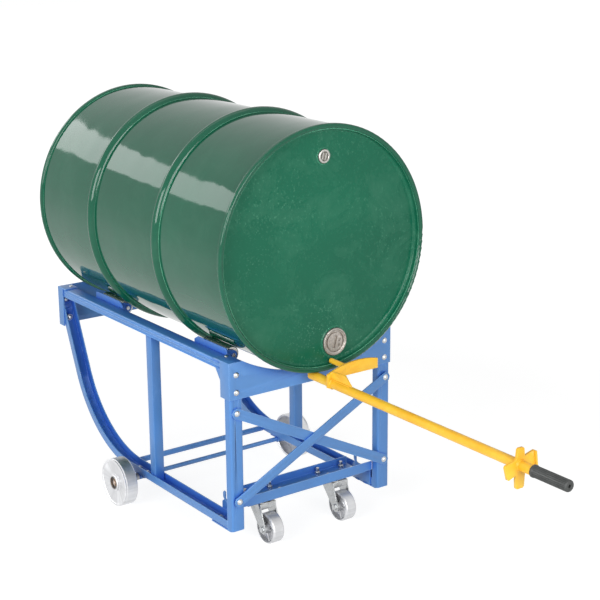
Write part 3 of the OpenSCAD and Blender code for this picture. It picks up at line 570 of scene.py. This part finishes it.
class DrumCartPaint(bpy.types.PropertyGroup):
    frame_blue: paint_colour("Frame blue", "Powder coat of rails, posts and rockers",
                             (0.066, 0.225, 0.560))
    cradle_blue: paint_colour("Cradle blue", "Powder coat of cradle plates and cross brace",
                              (0.074, 0.232, 0.550))
    # the rubbed blue, made paler, is also the painted highlight along the frame's edges
    blue_rub: paint_colour("Rubbed blue", "Tone of rubbed places on the powder coat",
                           (0.25, 0.44, 0.78))
    drum_green: paint_colour("Drum green", "Enamel of the drum's wall", (0.0030, 0.100, 0.052))
    head_green: paint_colour("Head green", "Enamel of the drum's heads", (0.0065, 0.126, 0.067))
    # the scuffed green, made far paler, is also the painted highlight along the drum's edges
    green_scuff: paint_colour("Scuffed green", "Tone of scuffs on the enamel",
                              (0.070, 0.215, 0.140))
    lever_yellow: paint_colour("Lever yellow", "Lit tone of the lever's paint",
                               (1.0, 0.60, 0.045))
    lever_amber: paint_colour("Lever amber", "Deep tone of the lever's paint",
                              (0.94, 0.47, 0.022))
    grip_grey: paint_colour("Grip grey", "Rubber of the grip", (0.040, 0.043, 0.042))


class DrumCartMetal(bpy.types.PropertyGroup):
    zinc: paint_colour("Zinc", "Plated bolts and caster forks", (0.66, 0.675, 0.68))
    tarnish: paint_colour("Tarnish", "Pale film on the zinc", (0.56, 0.57, 0.55))
    wheel_metal: paint_colour("Wheel metal", "Turned metal of the wheels", (0.76, 0.765, 0.78))
    bung_metal: paint_colour("Bung metal", "Bare metal of the large bung", (0.48, 0.44, 0.40))
    bush_metal: paint_colour("Bush metal", "Bearing bush of the fixed wheels",
                             (0.30, 0.20, 0.12))


class DrumCartSizes(bpy.types.PropertyGroup):
    grip_ribs: bpy.props.IntProperty(name="Grip ribs", default=20, min=8, max=40,
                                     description="Lengthwise ribs round the grip")
    rib_depth: amount("Rib depth", "Depth of the hollows between the ribs", 0.0009, "LENGTH")
    bead: amount("Weld bead", "Radius of the weld beads", 0.0019, "LENGTH")
    seam: amount("Seam width", "Width of the drum's welded side seam", 0.006, "LENGTH")
    press_round: amount("Pressed edge", "Rounding of pressed plate edges", 0.0006, "LENGTH")


class DrumCartStage(bpy.types.PropertyGroup):
    key: amount("Key lamp", "Power of the large soft lamp", 120.0, "POWER")
    fill: amount("Fill lamp", "Power of the soft lamp in front", 112.0, "POWER")
    top: amount("Top lamp", "Power of the overhead lamp", 10.0, "POWER")
    side: amount("Side lamp", "Power of the soft lamp behind the cart", 30.0, "POWER")
    surround: amount("Surround", "Light from the pale room", 0.20)


def settings():
    scene = bpy.context.scene
    return (scene.drum_cart_paint, scene.drum_cart_metal, scene.drum_cart_sizes,
            scene.drum_cart_stage)


FRAME_ROUGHNESS = 0.34
BOLT_TONE, FORK_TONE, CASTER_TONE = 0.84, 0.72, 0.86    # darker than the fresh metal
BARE_AXLE = (0.58, 0.46, 0.38)
ROLLER_STEEL = (0.62, 0.63, 0.64)

made = {}


def finish_of(name):
    """The shop's finishes, each mixed once and then shared by the pieces that wear it."""
    if name in made:
        return made[name]
    paint, metal = settings()[:2]
    blue, cradle, rub = tuple(paint.frame_blue), tuple(paint.cradle_blue), tuple(paint.blue_rub)
    green, head, scuff = tuple(paint.drum_green), tuple(paint.head_green), tuple(paint.green_scuff)
    zinc, tarnish = tuple(metal.zinc), tuple(metal.tarnish)
    mix, *recipe = {
        "frame": (powder_coat, "frame_powder_coat", blue, FRAME_ROUGHNESS, rub),
        "cradle": (powder_coat, "cradle_powder_coat", cradle, 0.32, rub),
        "axle": (axle_coat, "axle_coat", blue, FRAME_ROUGHNESS, rub, BARE_AXLE),
        "drum": (gloss_enamel, "drum_enamel", green, scuff, WALL),
        "head": (gloss_enamel, "head_enamel", head, scuff, HEAD),
        "lever": (lever_paint, "lever_safety_paint", tuple(paint.lever_yellow),
                  tuple(paint.lever_amber)),
        "zinc": (plated, "bolt_zinc_plate", tint(zinc, BOLT_TONE), 0.30, 260.0, tarnish),
        "fork": (plated, "fork_zinc_plate", tint(zinc, FORK_TONE), 0.28, 120.0,
                 tint(tarnish, FORK_TONE)),
        "grip": (rubber, "grip_rubber", tuple(paint.grip_grey), 0.55),
        "gasket": (rubber, "bung_gasket_rubber", (0.018, 0.018, 0.017), 0.6),
        "bung": (cast_metal, "bung_cast_metal", tuple(metal.bung_metal), 0.42, 160.0),
        "bung_plate": (plated, "bung_zinc_plate", (0.50, 0.49, 0.46), 0.34, 300.0,
                       (0.34, 0.33, 0.30)),
        "bush": (cast_metal, "bush_bronze", tuple(metal.bush_metal), 0.40, 300.0),
        "steel": (cast_metal, "spacer_steel_skin", (0.34, 0.34, 0.35), 0.36, 420.0),
    }[name]
    made[name] = mix(*recipe)
    return made[name]


# ---------------------------------------------------------------- operators


CHANNELS = ("rocker_left", "rocker_right", "top_rail_left", "top_rail_right", "front_post_left",
            "front_post_right")
PLATES = ("gussets", "foot_plates", "rear_tie", "pan_ends", "axle_clamps")
CRADLES = ("front_cradle", "rear_cradle", "brace_bar_back", "brace_bar_front")
FITTINGS = ("cradle_bolts", "brace_bolts", "base_bolts", "rear_wedges", "roller_pins",
            "king_pins", "caster_axle_left", "caster_axle_right")


class DRUMCART_OT_channels(bpy.types.Operator):
    """Rolled channels of the side frames, with smooth corners and powder coat"""
    bl_idname = "drumcart.channels"
    bl_label = "Channels"

    def execute(self, context):
        for node in CHANNELS:
            eased(node, "_rolled", finish_of("frame"), "frame_blue")
        return {"FINISHED"}


class DRUMCART_OT_plates(bpy.types.Operator):
    """Struts, gussets, end plates, clamps and tie bar with eased edges and powder coat"""
    bl_idname = "drumcart.plates"
    bl_label = "Plates and struts"

    def execute(self, context):
        ease, tube_round = settings()[2].press_round, 0.0015
        for node in PLATES:
            eased(node, "_eased", finish_of("frame"), "frame_blue", ease)
        for side in SIDES:
            eased(f"strut_{side}", "_tube", finish_of("frame"), "frame_blue", tube_round, 60)
        return {"FINISHED"}


class DRUMCART_OT_pan(bpy.types.Operator):
    """Folded caster pan with rounded folds and powder coat"""
    bl_idname = "drumcart.pan"
    bl_label = "Caster pan"

    def execute(self, context):
        eased("caster_pan", "_folded", finish_of("frame"), "frame_blue")
        return {"FINISHED"}


class DRUMCART_OT_cradles(bpy.types.Operator):
    """Front and rear cradle plates and the cross brace, sheared edges eased"""
    bl_idname = "drumcart.cradles"
    bl_label = "Cradles and brace"

    def execute(self, context):
        ease = settings()[2].press_round
        for node in CRADLES:
            eased(node, "_sheared", finish_of("cradle"), "frame_blue", ease)
        return {"FINISHED"}


class DRUMCART_OT_brackets(bpy.types.Operator):
    """Roller brackets painted with the frame, and turned steel rollers"""
    bl_idname = "drumcart.brackets"
    bl_label = "Roller brackets"

    def execute(self, context):
        ease = settings()[2].press_round
        for end in ENDS:
            for side in SIDES:
                bracket, roller = f"roller_bracket_{end}_{side}", f"roller_{end}_{side}"
                eased(bracket, "_eased", finish_of("frame"), "bracket_blue", ease)
                steel = turned(roller + "_turned_steel", ROLLER_STEEL, middle(roller), "X", 0.24)
                dress_nodes(steel, roller)
        return {"FINISHED"}


class DRUMCART_OT_hardware(bpy.types.Operator):
    """Zinc plate on bolts, washers and pins, bare metal on spacers, and the painted axle"""
    bl_idname = "drumcart.hardware"
    bl_label = "Bolts, pins and axle"

    def execute(self, context):
        dress_nodes(finish_of("zinc"), *FITTINGS)
        dress_nodes(finish_of("steel"), "axle_spacers")
        dress_nodes(finish_of("bush"), "axle_retainers")
        eased("rear_axle", "_painted", finish_of("axle"), "axle_steel")
        return {"FINISHED"}


class DRUMCART_OT_fixed_wheels(bpy.types.Operator):
    """Turned metal of the two fixed wheels, with their bearing bushes"""
    bl_idname = "drumcart.fixed_wheels"
    bl_label = "Fixed wheels"

    def execute(self, context):
        colour = tuple(settings()[1].wheel_metal)
        for side in SIDES:
            wheel = f"rear_wheel_{side}"
            metal = turned(wheel + "_turned_metal", colour, middle(wheel), "Y", 0.40,
                           pitch=0.0026, sheen=0.75, hub_r=0.0205)
            dress_nodes(metal, wheel)
            dress_nodes(finish_of("bush"), f"wheel_bush_{side}")
        return {"FINISHED"}


class DRUMCART_OT_casters(bpy.types.Operator):
    """Pressed, zinc plated caster forks and plates with rounded shoulders, and their wheels"""
    bl_idname = "drumcart.casters"
    bl_label = "Casters"

    def execute(self, context):
        colour = tint(tuple(settings()[1].wheel_metal), CASTER_TONE)
        fork_round, plate_round = 0.0011, 0.0006
        for side in SIDES:
            for node, ease in ((f"caster_fork_{side}", fork_round),
                               (f"caster_plate_{side}", plate_round)):
                eased(node, "_pressed", finish_of("fork"), "caster_zinc", ease)
            wheel = f"caster_wheel_{side}"
            metal = turned(wheel + "_turned_metal", colour, middle(wheel), "Y", 0.46,
                           pitch=0.0018, sheen=0.35)
            dress_nodes(metal, wheel)
        return {"FINISHED"}


class DRUMCART_OT_race_covers(bpy.types.Operator):
    """Dust covers round the casters' ball races: a rolled ring with a raised rim"""
    bl_idname = "drumcart.race_covers"
    bl_label = "Race covers"

    def execute(self, context):
        x, height, off_centre = middle("king_pins").x, 0.1008, 0.11
        ring_r, wall, rim, crown = 0.0279, 0.0009, 0.0012, 0.0002
        for name, side in SIDES.items():
            rest_tools()
            bpy.ops.mesh.primitive_torus_add(
                major_segments=64, minor_segments=8, major_radius=ring_r, minor_radius=wall,
                location=(x, side * off_centre, height))
            ring = bpy.context.object
            edit(ring, "VERT")
            pick(ring, "VERT", lambda v: v.co.z > crown)
            extrude(0, rim)
            rest_tools()
            smooth(ring, BEAD_ANGLE)
            seat(ring, f"race_cover_{name}", finish_of("fork"), "frame", "caster_zinc")
        return {"FINISHED"}


class DRUMCART_OT_drum(bpy.types.Operator):
    """Gloss enamel on the drum's wall and duller, scuffed enamel on its heads"""
    bl_idname = "drumcart.drum"
    bl_label = "Drum enamel"

    def execute(self, context):
        dress_nodes(finish_of("drum"), "drum_shell")
        dress_nodes(finish_of("head"), "drum_front_head", "drum_rear_head")
        return {"FINISHED"}


class DRUMCART_OT_side_seam(bpy.types.Operator):
    """Welded side seam of the drum: a flat strip led along the wall and over both hoops"""
    bl_idname = "drumcart.side_seam"
    bl_label = "Side seam"

    def execute(self, context):
        width = settings()[2].seam
        wall_r, half_length, turn = 0.287, 0.424, -128
        hoop_x, hoop_seat, hoop_bend, hoop_angle, hoop_steps = 0.156284, 0.2845, 0.014, 79, 12
        first_step, lift, sheet, slack = 0.0005, 0.0003, 0.0007, 0.0001

        path = [(-half_length, wall_r)]
        for hoop in (-hoop_x, hoop_x):
            for i in range(hoop_steps + 1):
                angle = math.radians(-hoop_angle + i * 2 * hoop_angle / hoop_steps)
                path.append((hoop + hoop_bend * math.sin(angle),
                             hoop_seat + hoop_bend * math.cos(angle)))
        path.append((half_length, wall_r))
        rest_tools()
        bpy.ops.mesh.primitive_plane_add(size=1.0)
        seam = bpy.context.object
        bpy.ops.transform.resize(value=(first_step, width, 1.0))
        bpy.ops.object.transform_apply(location=False, rotation=False, scale=True)
        edit(seam, "VERT")
        bpy.ops.mesh.select_all(action="SELECT")
        bpy.ops.transform.translate(value=(path[0][0] - first_step / 2, 0, path[0][1] + lift))
        pick(seam, "VERT", lambda v: v.co.x > path[0][0] - slack)
        for last, point in zip(path, path[1:]):
            extrude(point[0] - last[0], point[1] - last[1])
        rest_tools()
        wall = seam.modifiers.new("wall", "SOLIDIFY")
        wall.thickness = sheet
        wall.offset = 0.0
        apply_all(seam)
        seam.matrix_world = (Matrix.Translation((0, 0, DRUM_AXIS.z))
                             @ Matrix.Rotation(math.radians(turn), 4, "X"))
        smooth(seam, 50)
        seat(seam, "drum_side_seam", finish_of("drum"), "drum", "drum_green")
        return {"FINISHED"}


class DRUMCART_OT_bungs(bpy.types.Operator):
    """Metal of both bungs, and a rubber gasket squeezed out under each flange"""
    bl_idname = "drumcart.bungs"
    bl_label = "Bungs and gaskets"

    def execute(self, context):
        dress_nodes(finish_of("bung"), "large_bung_plug")
        dress_nodes(finish_of("bung_plate"), "small_bung_plug")
        plug_height, seat_height = 0.0076, 0.0038      # above the drum's head
        bulge, crown, squeeze = 0.0009, 0.0004, (0.985, 0.6)
        gasket_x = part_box("large_bung_plug")[1][0] - plug_height + seat_height
        for name, ring_r in (("large", 0.0334), ("small", 0.0160)):
            at = middle(f"{name}_bung_plug")
            rest_tools()
            bpy.ops.mesh.primitive_torus_add(major_segments=72, minor_segments=10,
                                             major_radius=ring_r, minor_radius=bulge)
            ring = bpy.context.object
            edit(ring, "VERT")
            pick(ring, "VERT", lambda v: v.co.z > crown)
            widen(*squeeze)
            rest_tools()
            ring.matrix_world = facing_front((gasket_x, at.y, at.z))
            smooth(ring, BEAD_ANGLE)
            seat(ring, f"{name}_bung_gasket", finish_of("gasket"), "drum", "grip_dark")
        return {"FINISHED"}


class DRUMCART_OT_lever(bpy.types.Operator):
    """Safety paint on the lever, its plates with eased edges"""
    bl_idname = "drumcart.lever"
    bl_label = "Lever"

    def execute(self, context):
        flame_round = 0.0008
        dress_nodes(finish_of("lever"), "lever_tube", "lever_hook")
        for node in ("lever_saddle", "lever_star"):
            eased(node, "_flame_cut", finish_of("lever"), "lever_yellow", flame_round)
        return {"FINISHED"}


class DRUMCART_OT_grip(bpy.types.Operator):
    """Ribbed rubber grip with a collar, pushed over the lever's end"""
    bl_idname = "drumcart.grip"
    bl_label = "Grip"

    def execute(self, context):
        sizes = settings()[2]
        low, high = (Vector(corner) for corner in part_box("lever_grip"))
        axis = (low + high) / 2
        collar_r = (high.z - low.z) / 2
        outer_r = collar_r - 0.001
        bore_r, bore_depth = 0.01103, 0.0905
        collar_length, nose_length, slack = 0.006, 0.0035, 0.0001
        rib_inset, collar_bevel, hole_depth = 0.0004, 1.02, 0.0045
        start, end = low.x + collar_length, high.x - nose_length
        top, foot = (end - start) / 2, -(end - start) / 2
        corners = sizes.grip_ribs * 3
        corner_turn = 2 * math.pi / corners
        rest_tools()
        bpy.ops.mesh.primitive_cylinder_add(vertices=corners, radius=outer_r, depth=end - start,
                                            end_fill_type="NGON")
        grip = bpy.context.object
        # every third face round the wall sinks between two ribs
        edit(grip, "FACE")
        pick(grip, "FACE", lambda f: abs(f.normal.z) < 0.1 and round(
            math.atan2(f.center.y, f.center.x) / corner_turn - 0.5) % 3 == 0)
        bpy.ops.mesh.inset(use_individual=True, thickness=rib_inset, depth=-sizes.rib_depth)
        # rounded far end with a small hole
        pick(grip, "FACE", lambda f: f.normal.z > 0.9 and f.center.z > top - slack)
        for rise, scale in ((0.0014, 0.97), (0.0012, 0.93), (0.0007, 0.82)):
            extrude(0, rise)
            widen(scale)
        for inward, up in ((0.0030, 0.0), (0.0009, -0.0011), (0.0018, 0.0)):
            bpy.ops.mesh.inset(thickness=inward, depth=up)
        extrude(0, -hole_depth)
        # collar and bore at the near end
        pick(grip, "FACE", lambda f: f.normal.z < -0.9 and f.center.z < foot + slack)
        flare = collar_r / outer_r
        for drop, scale in ((0.0016, flare), (0.0034, 1.0), (0.0010, 1 / flare * collar_bevel)):
            extrude(0, -drop)
            widen(scale)
        bpy.ops.mesh.inset(thickness=outer_r * collar_bevel - bore_r, depth=0.0)
        extrude(0, bore_depth)
        rest_tools()
        grip.matrix_world = facing_front(((start + end) / 2, axis.y, axis.z))
        smooth(grip, 38)
        seat(grip, "lever_grip_ribbed", finish_of("grip"), "lever", "grip_dark")
        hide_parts("lever_grip")
        return {"FINISHED"}


class DRUMCART_OT_lever_welds(bpy.types.Operator):
    """Weld beads where saddle, hook and star plate meet the lever"""
    bl_idname = "drumcart.lever_welds"
    bl_label = "Lever welds"

    def execute(self, context):
        bead, fine_bead = settings()[2].bead, settings()[2].bead * 0.8
        tube_ring, hook_ring, plate = 0.0113, 0.0067, 0.006
        rib_off, rib_foot, rib_start, rib_stop = 0.003, 0.0107, 0.008, 0.004
        tube, hook = middle("lever_tube"), middle("lever_hook")
        saddle_low, saddle_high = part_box("lever_saddle")
        back, star_back = saddle_low[0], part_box("lever_star")[0][0]
        seating = (finish_of("lever"), "lever", "lever_yellow")
        weld_ring("saddle_weld_front", (back + plate, tube.y, tube.z), tube_ring, bead, *seating)
        weld_ring("saddle_weld_back", (back, tube.y, tube.z), tube_ring, bead, *seating)
        weld_ring("hook_weld", (back, hook.y, hook.z), hook_ring, fine_bead, *seating, steps=28)
        weld_ring("star_weld", (star_back, tube.y, tube.z), tube_ring, bead, *seating)
        for name, side in reversed(SIDES.items()):
            y, z = tube.y + side * rib_off, tube.z + rib_foot
            weld_run(f"rib_weld_{name}", (back + rib_start, y, z),
                     (saddle_high[0] - rib_stop, y, z), fine_bead, *seating)
        return {"FINISHED"}


class DRUMCART_OT_frame_welds(bpy.types.Operator):
    """Weld beads where struts, roller brackets and the caster pan meet the side frames"""
    bl_idname = "drumcart.frame_welds"
    bl_label = "Frame welds"

    def execute(self, context):
        bead = settings()[2].bead
        seating = (finish_of("frame"), "frame", "frame_blue")
        strut_out, strut_in, strut_up = 0.0004, 0.002, 0.0008       # from the strut's corners
        web_y, web_in, flange_down = 0.2006, 0.0004, 0.0002         # beside and under a bracket
        stitch_from, stitch_to = 0.006, 0.034                       # from the bracket's ends
        pan_y, pan_z = 0.1976, 0.0690
        pan_stitches = ((0.296, 0.312, "rear"), (0.326, 0.344, "front"))
        for name, side in SIDES.items():
            low, high = (Vector(c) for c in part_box(f"strut_{name}"))
            for end, z in (("foot", low.z + strut_up), ("head", high.z - strut_up)):
                for x, way in ((low.x - strut_out, "rear"), (high.x + strut_out, "front")):
                    weld_run(f"strut_weld_{name}_{end}_{way}", (x, low.y + strut_in, z),
                             (x, high.y - strut_in, z), bead, *seating)
            for end in ENDS:
                low, high = (Vector(c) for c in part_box(f"roller_bracket_{end}_{name}"))
                y, z = side * web_y - side * web_in, low.z - flange_down
                for x0, x1, part in ((low.x + stitch_from, low.x + stitch_to, "rear"),
                                     (high.x - stitch_to, high.x - stitch_from, "front")):
                    weld_run(f"bracket_weld_{end}_{name}_{part}", (x0, y, z), (x1, y, z), bead,
                             *seating)
            for x0, x1, part in pan_stitches:
                weld_run(f"pan_end_weld_{name}_{part}", (x0, side * pan_y, pan_z),
                         (x1, side * pan_y, pan_z), bead * 0.8, *seating)
        return {"FINISHED"}


LAMP_AIM = (0.1, 0, 0.6)
LAMPS = {                       # place, width and depth of each lamp's panel
    "key": ((1.4, -3.9, 1.9), 2.6, 1.8),
    "fill": ((4.6, -0.6, 1.7), 2.4, 2.0),
    "top": ((-0.4, 0.2, 4.2), 3.2, 1.2),
    "side": ((-3.8, -1.7, 2.5), 3.4, 0.85),
}
CAMERA_PLACE = (3.05550139, -1.96171382, 1.5427)
CAMERA_RIGHT = Vector((0.58648729, 0.80991537, -0.00835123))
CAMERA_UP = Vector((-0.21713706, 0.16715289, 0.96172314))
CAMERA_AHEAD = Vector((-0.78031029, 0.56222504, -0.27389569))
LENS_MM, SENSOR_MM = 88.03, 36.0
WHITE = (1, 1, 1, 1)
FLOOR_SIZE, FLOOR_GAP = 30, 0.0002      # the gap keeps the wheels' lowest points above the floor


def area_lamp(name, place, width, depth, power):
    lamp = bpy.data.lights.new(name, "AREA")
    lamp.shape = "RECTANGLE"
    lamp.size = width
    lamp.size_y = depth
    lamp.energy = power
    piece = bpy.data.objects.new(name, lamp)
    bpy.context.scene.collection.objects.link(piece)
    piece.location = place
    aim = Vector(LAMP_AIM) - Vector(place)
    piece.rotation_euler = aim.to_track_quat("-Z", "Y").to_euler()


def seen_directly(tree):
    """1 for camera, mirror and see-through rays, 0 for the light that falls on the cart."""
    path = tree.nodes.new("ShaderNodeLightPath")
    seen = maths(tree, "MAXIMUM", path.outputs["Is Camera Ray"], path.outputs["Is Glossy Ray"])
    return maths(tree, "MAXIMUM", seen, path.outputs["Is Transmission Ray"])


def two_faced(tree, unseen, seen, output):
    """One shader for the light that falls on the cart, another for what is seen directly."""
    choose = tree.nodes.new("ShaderNodeMixShader")
    tree.links.new(seen_directly(tree), choose.inputs[0])
    tree.links.new(unseen.outputs[0], choose.inputs[1])
    tree.links.new(seen.outputs[0], choose.inputs[2])
    tree.links.new(choose.outputs[0], tree.nodes[output].inputs["Surface"])


def matt(tree, grey):
    node = tree.nodes.new("ShaderNodeBsdfDiffuse")
    node.inputs["Color"].default_value = (grey, grey, grey, 1)
    return node


def pale_floor():
    """Plain grey for the light it throws back, but seen as white paper with a faint shadow."""
    near, far, near_glow = 1.2, 2.6, 0.86
    material = bpy.data.materials.new("pale_floor")
    material.use_nodes = True
    tree = material.node_tree
    tree.nodes.remove(tree.nodes["Principled BSDF"])
    glow = tree.nodes.new("ShaderNodeEmission")
    away = tree.nodes.new("ShaderNodeVectorMath")
    away.operation = "LENGTH"
    tree.links.new(tree.nodes.new("ShaderNodeTexCoord").outputs["Object"], away.inputs[0])
    tree.links.new(between(tree, away.outputs["Value"], near, far, near_glow, 1.0),
                   glow.inputs["Strength"])
    paper = tree.nodes.new("ShaderNodeAddShader")
    tree.links.new(matt(tree, 0.30).outputs[0], paper.inputs[0])
    tree.links.new(glow.outputs[0], paper.inputs[1])
    two_faced(tree, matt(tree, 0.80), paper, "Material Output")
    return material


def pale_room(strength):
    """A world that lights the cart softly and is seen as plain white."""
    world = bpy.data.worlds.new("pale_room")
    world.use_nodes = True
    tree = world.node_tree
    back = tree.nodes["Background"]
    back.inputs["Strength"].default_value = strength
    back.inputs["Color"].default_value = WHITE
    sky = tree.nodes.new("ShaderNodeBackground")
    sky.inputs["Color"].default_value = WHITE
    two_faced(tree, back, sky, "World Output")
    return world


class DRUMCART_OT_stage(bpy.types.Operator):
    """Pale floor, soft lamps and the camera"""
    bl_idname = "drumcart.stage"
    bl_label = "Stage"

    def execute(self, context):
        stage = settings()[3]
        scene = context.scene
        rest_tools()
        bpy.ops.mesh.primitive_plane_add(size=1.0, location=(0, 0, -FLOOR_GAP))
        floor = context.object
        floor.name = "floor"
        floor.scale = (FLOOR_SIZE, FLOOR_SIZE, 1)
        bpy.ops.object.transform_apply(location=True, rotation=True, scale=True)
        dress(floor, pale_floor())
        scene.world = pale_room(stage.surround)
        for name, (place, width, depth) in LAMPS.items():
            area_lamp(f"{name}_lamp", place, width, depth, getattr(stage, name))

        lens = bpy.data.cameras.new("view_camera")
        lens.lens = LENS_MM
        lens.sensor_width = SENSOR_MM
        camera = bpy.data.objects.new("view_camera", lens)
        scene.collection.objects.link(camera)
        turn = Matrix((CAMERA_RIGHT, CAMERA_UP, -CAMERA_AHEAD)).transposed().to_4x4()
        camera.matrix_world = Matrix.Translation(CAMERA_PLACE) @ turn
        scene.camera = camera
        scene.view_settings.view_transform = "Standard"
        return {"FINISHED"}


STEPS = (
    DRUMCART_OT_channels, DRUMCART_OT_plates, DRUMCART_OT_pan, DRUMCART_OT_cradles,
    DRUMCART_OT_brackets, DRUMCART_OT_hardware, DRUMCART_OT_fixed_wheels, DRUMCART_OT_casters,
    DRUMCART_OT_race_covers, DRUMCART_OT_drum, DRUMCART_OT_side_seam, DRUMCART_OT_bungs,
    DRUMCART_OT_lever, DRUMCART_OT_grip, DRUMCART_OT_lever_welds, DRUMCART_OT_frame_welds,
    DRUMCART_OT_stage)


class DRUMCART_PT_panel(bpy.types.Panel):
    """Lists the cart's finishing steps in the order they are run"""
    bl_idname = "DRUMCART_PT_panel"
    bl_label = "Drum cart"
    bl_space_type = "VIEW_3D"
    bl_region_type = "UI"
    bl_category = "Drum cart"

    def draw(self, context):
        for group in settings():
            box = self.layout.box()
            for name in group.__annotations__:
                box.prop(group, name)
        for step in STEPS:
            self.layout.operator(step.bl_idname)


GROUPS = (("drum_cart_paint", DrumCartPaint), ("drum_cart_metal", DrumCartMetal),
          ("drum_cart_sizes", DrumCartSizes), ("drum_cart_stage", DrumCartStage))


def register():
    for name, group in GROUPS:
        bpy.utils.register_class(group)
        setattr(bpy.types.Scene, name, bpy.props.PointerProperty(type=group))
    for step in STEPS:
        bpy.utils.register_class(step)
    bpy.utils.register_class(DRUMCART_PT_panel)


def unregister():
    bpy.utils.unregister_class(DRUMCART_PT_panel)
    for step in reversed(STEPS):
        bpy.utils.unregister_class(step)
    for name, group in reversed(GROUPS):
        delattr(bpy.types.Scene, name)
        bpy.utils.unregister_class(group)


def main():
    register()
    for step in STEPS:
        area, name = step.bl_idname.split(".")
        getattr(getattr(bpy.ops, area), name)()
    rest_tools()


if __name__ == "__main__":
    main()
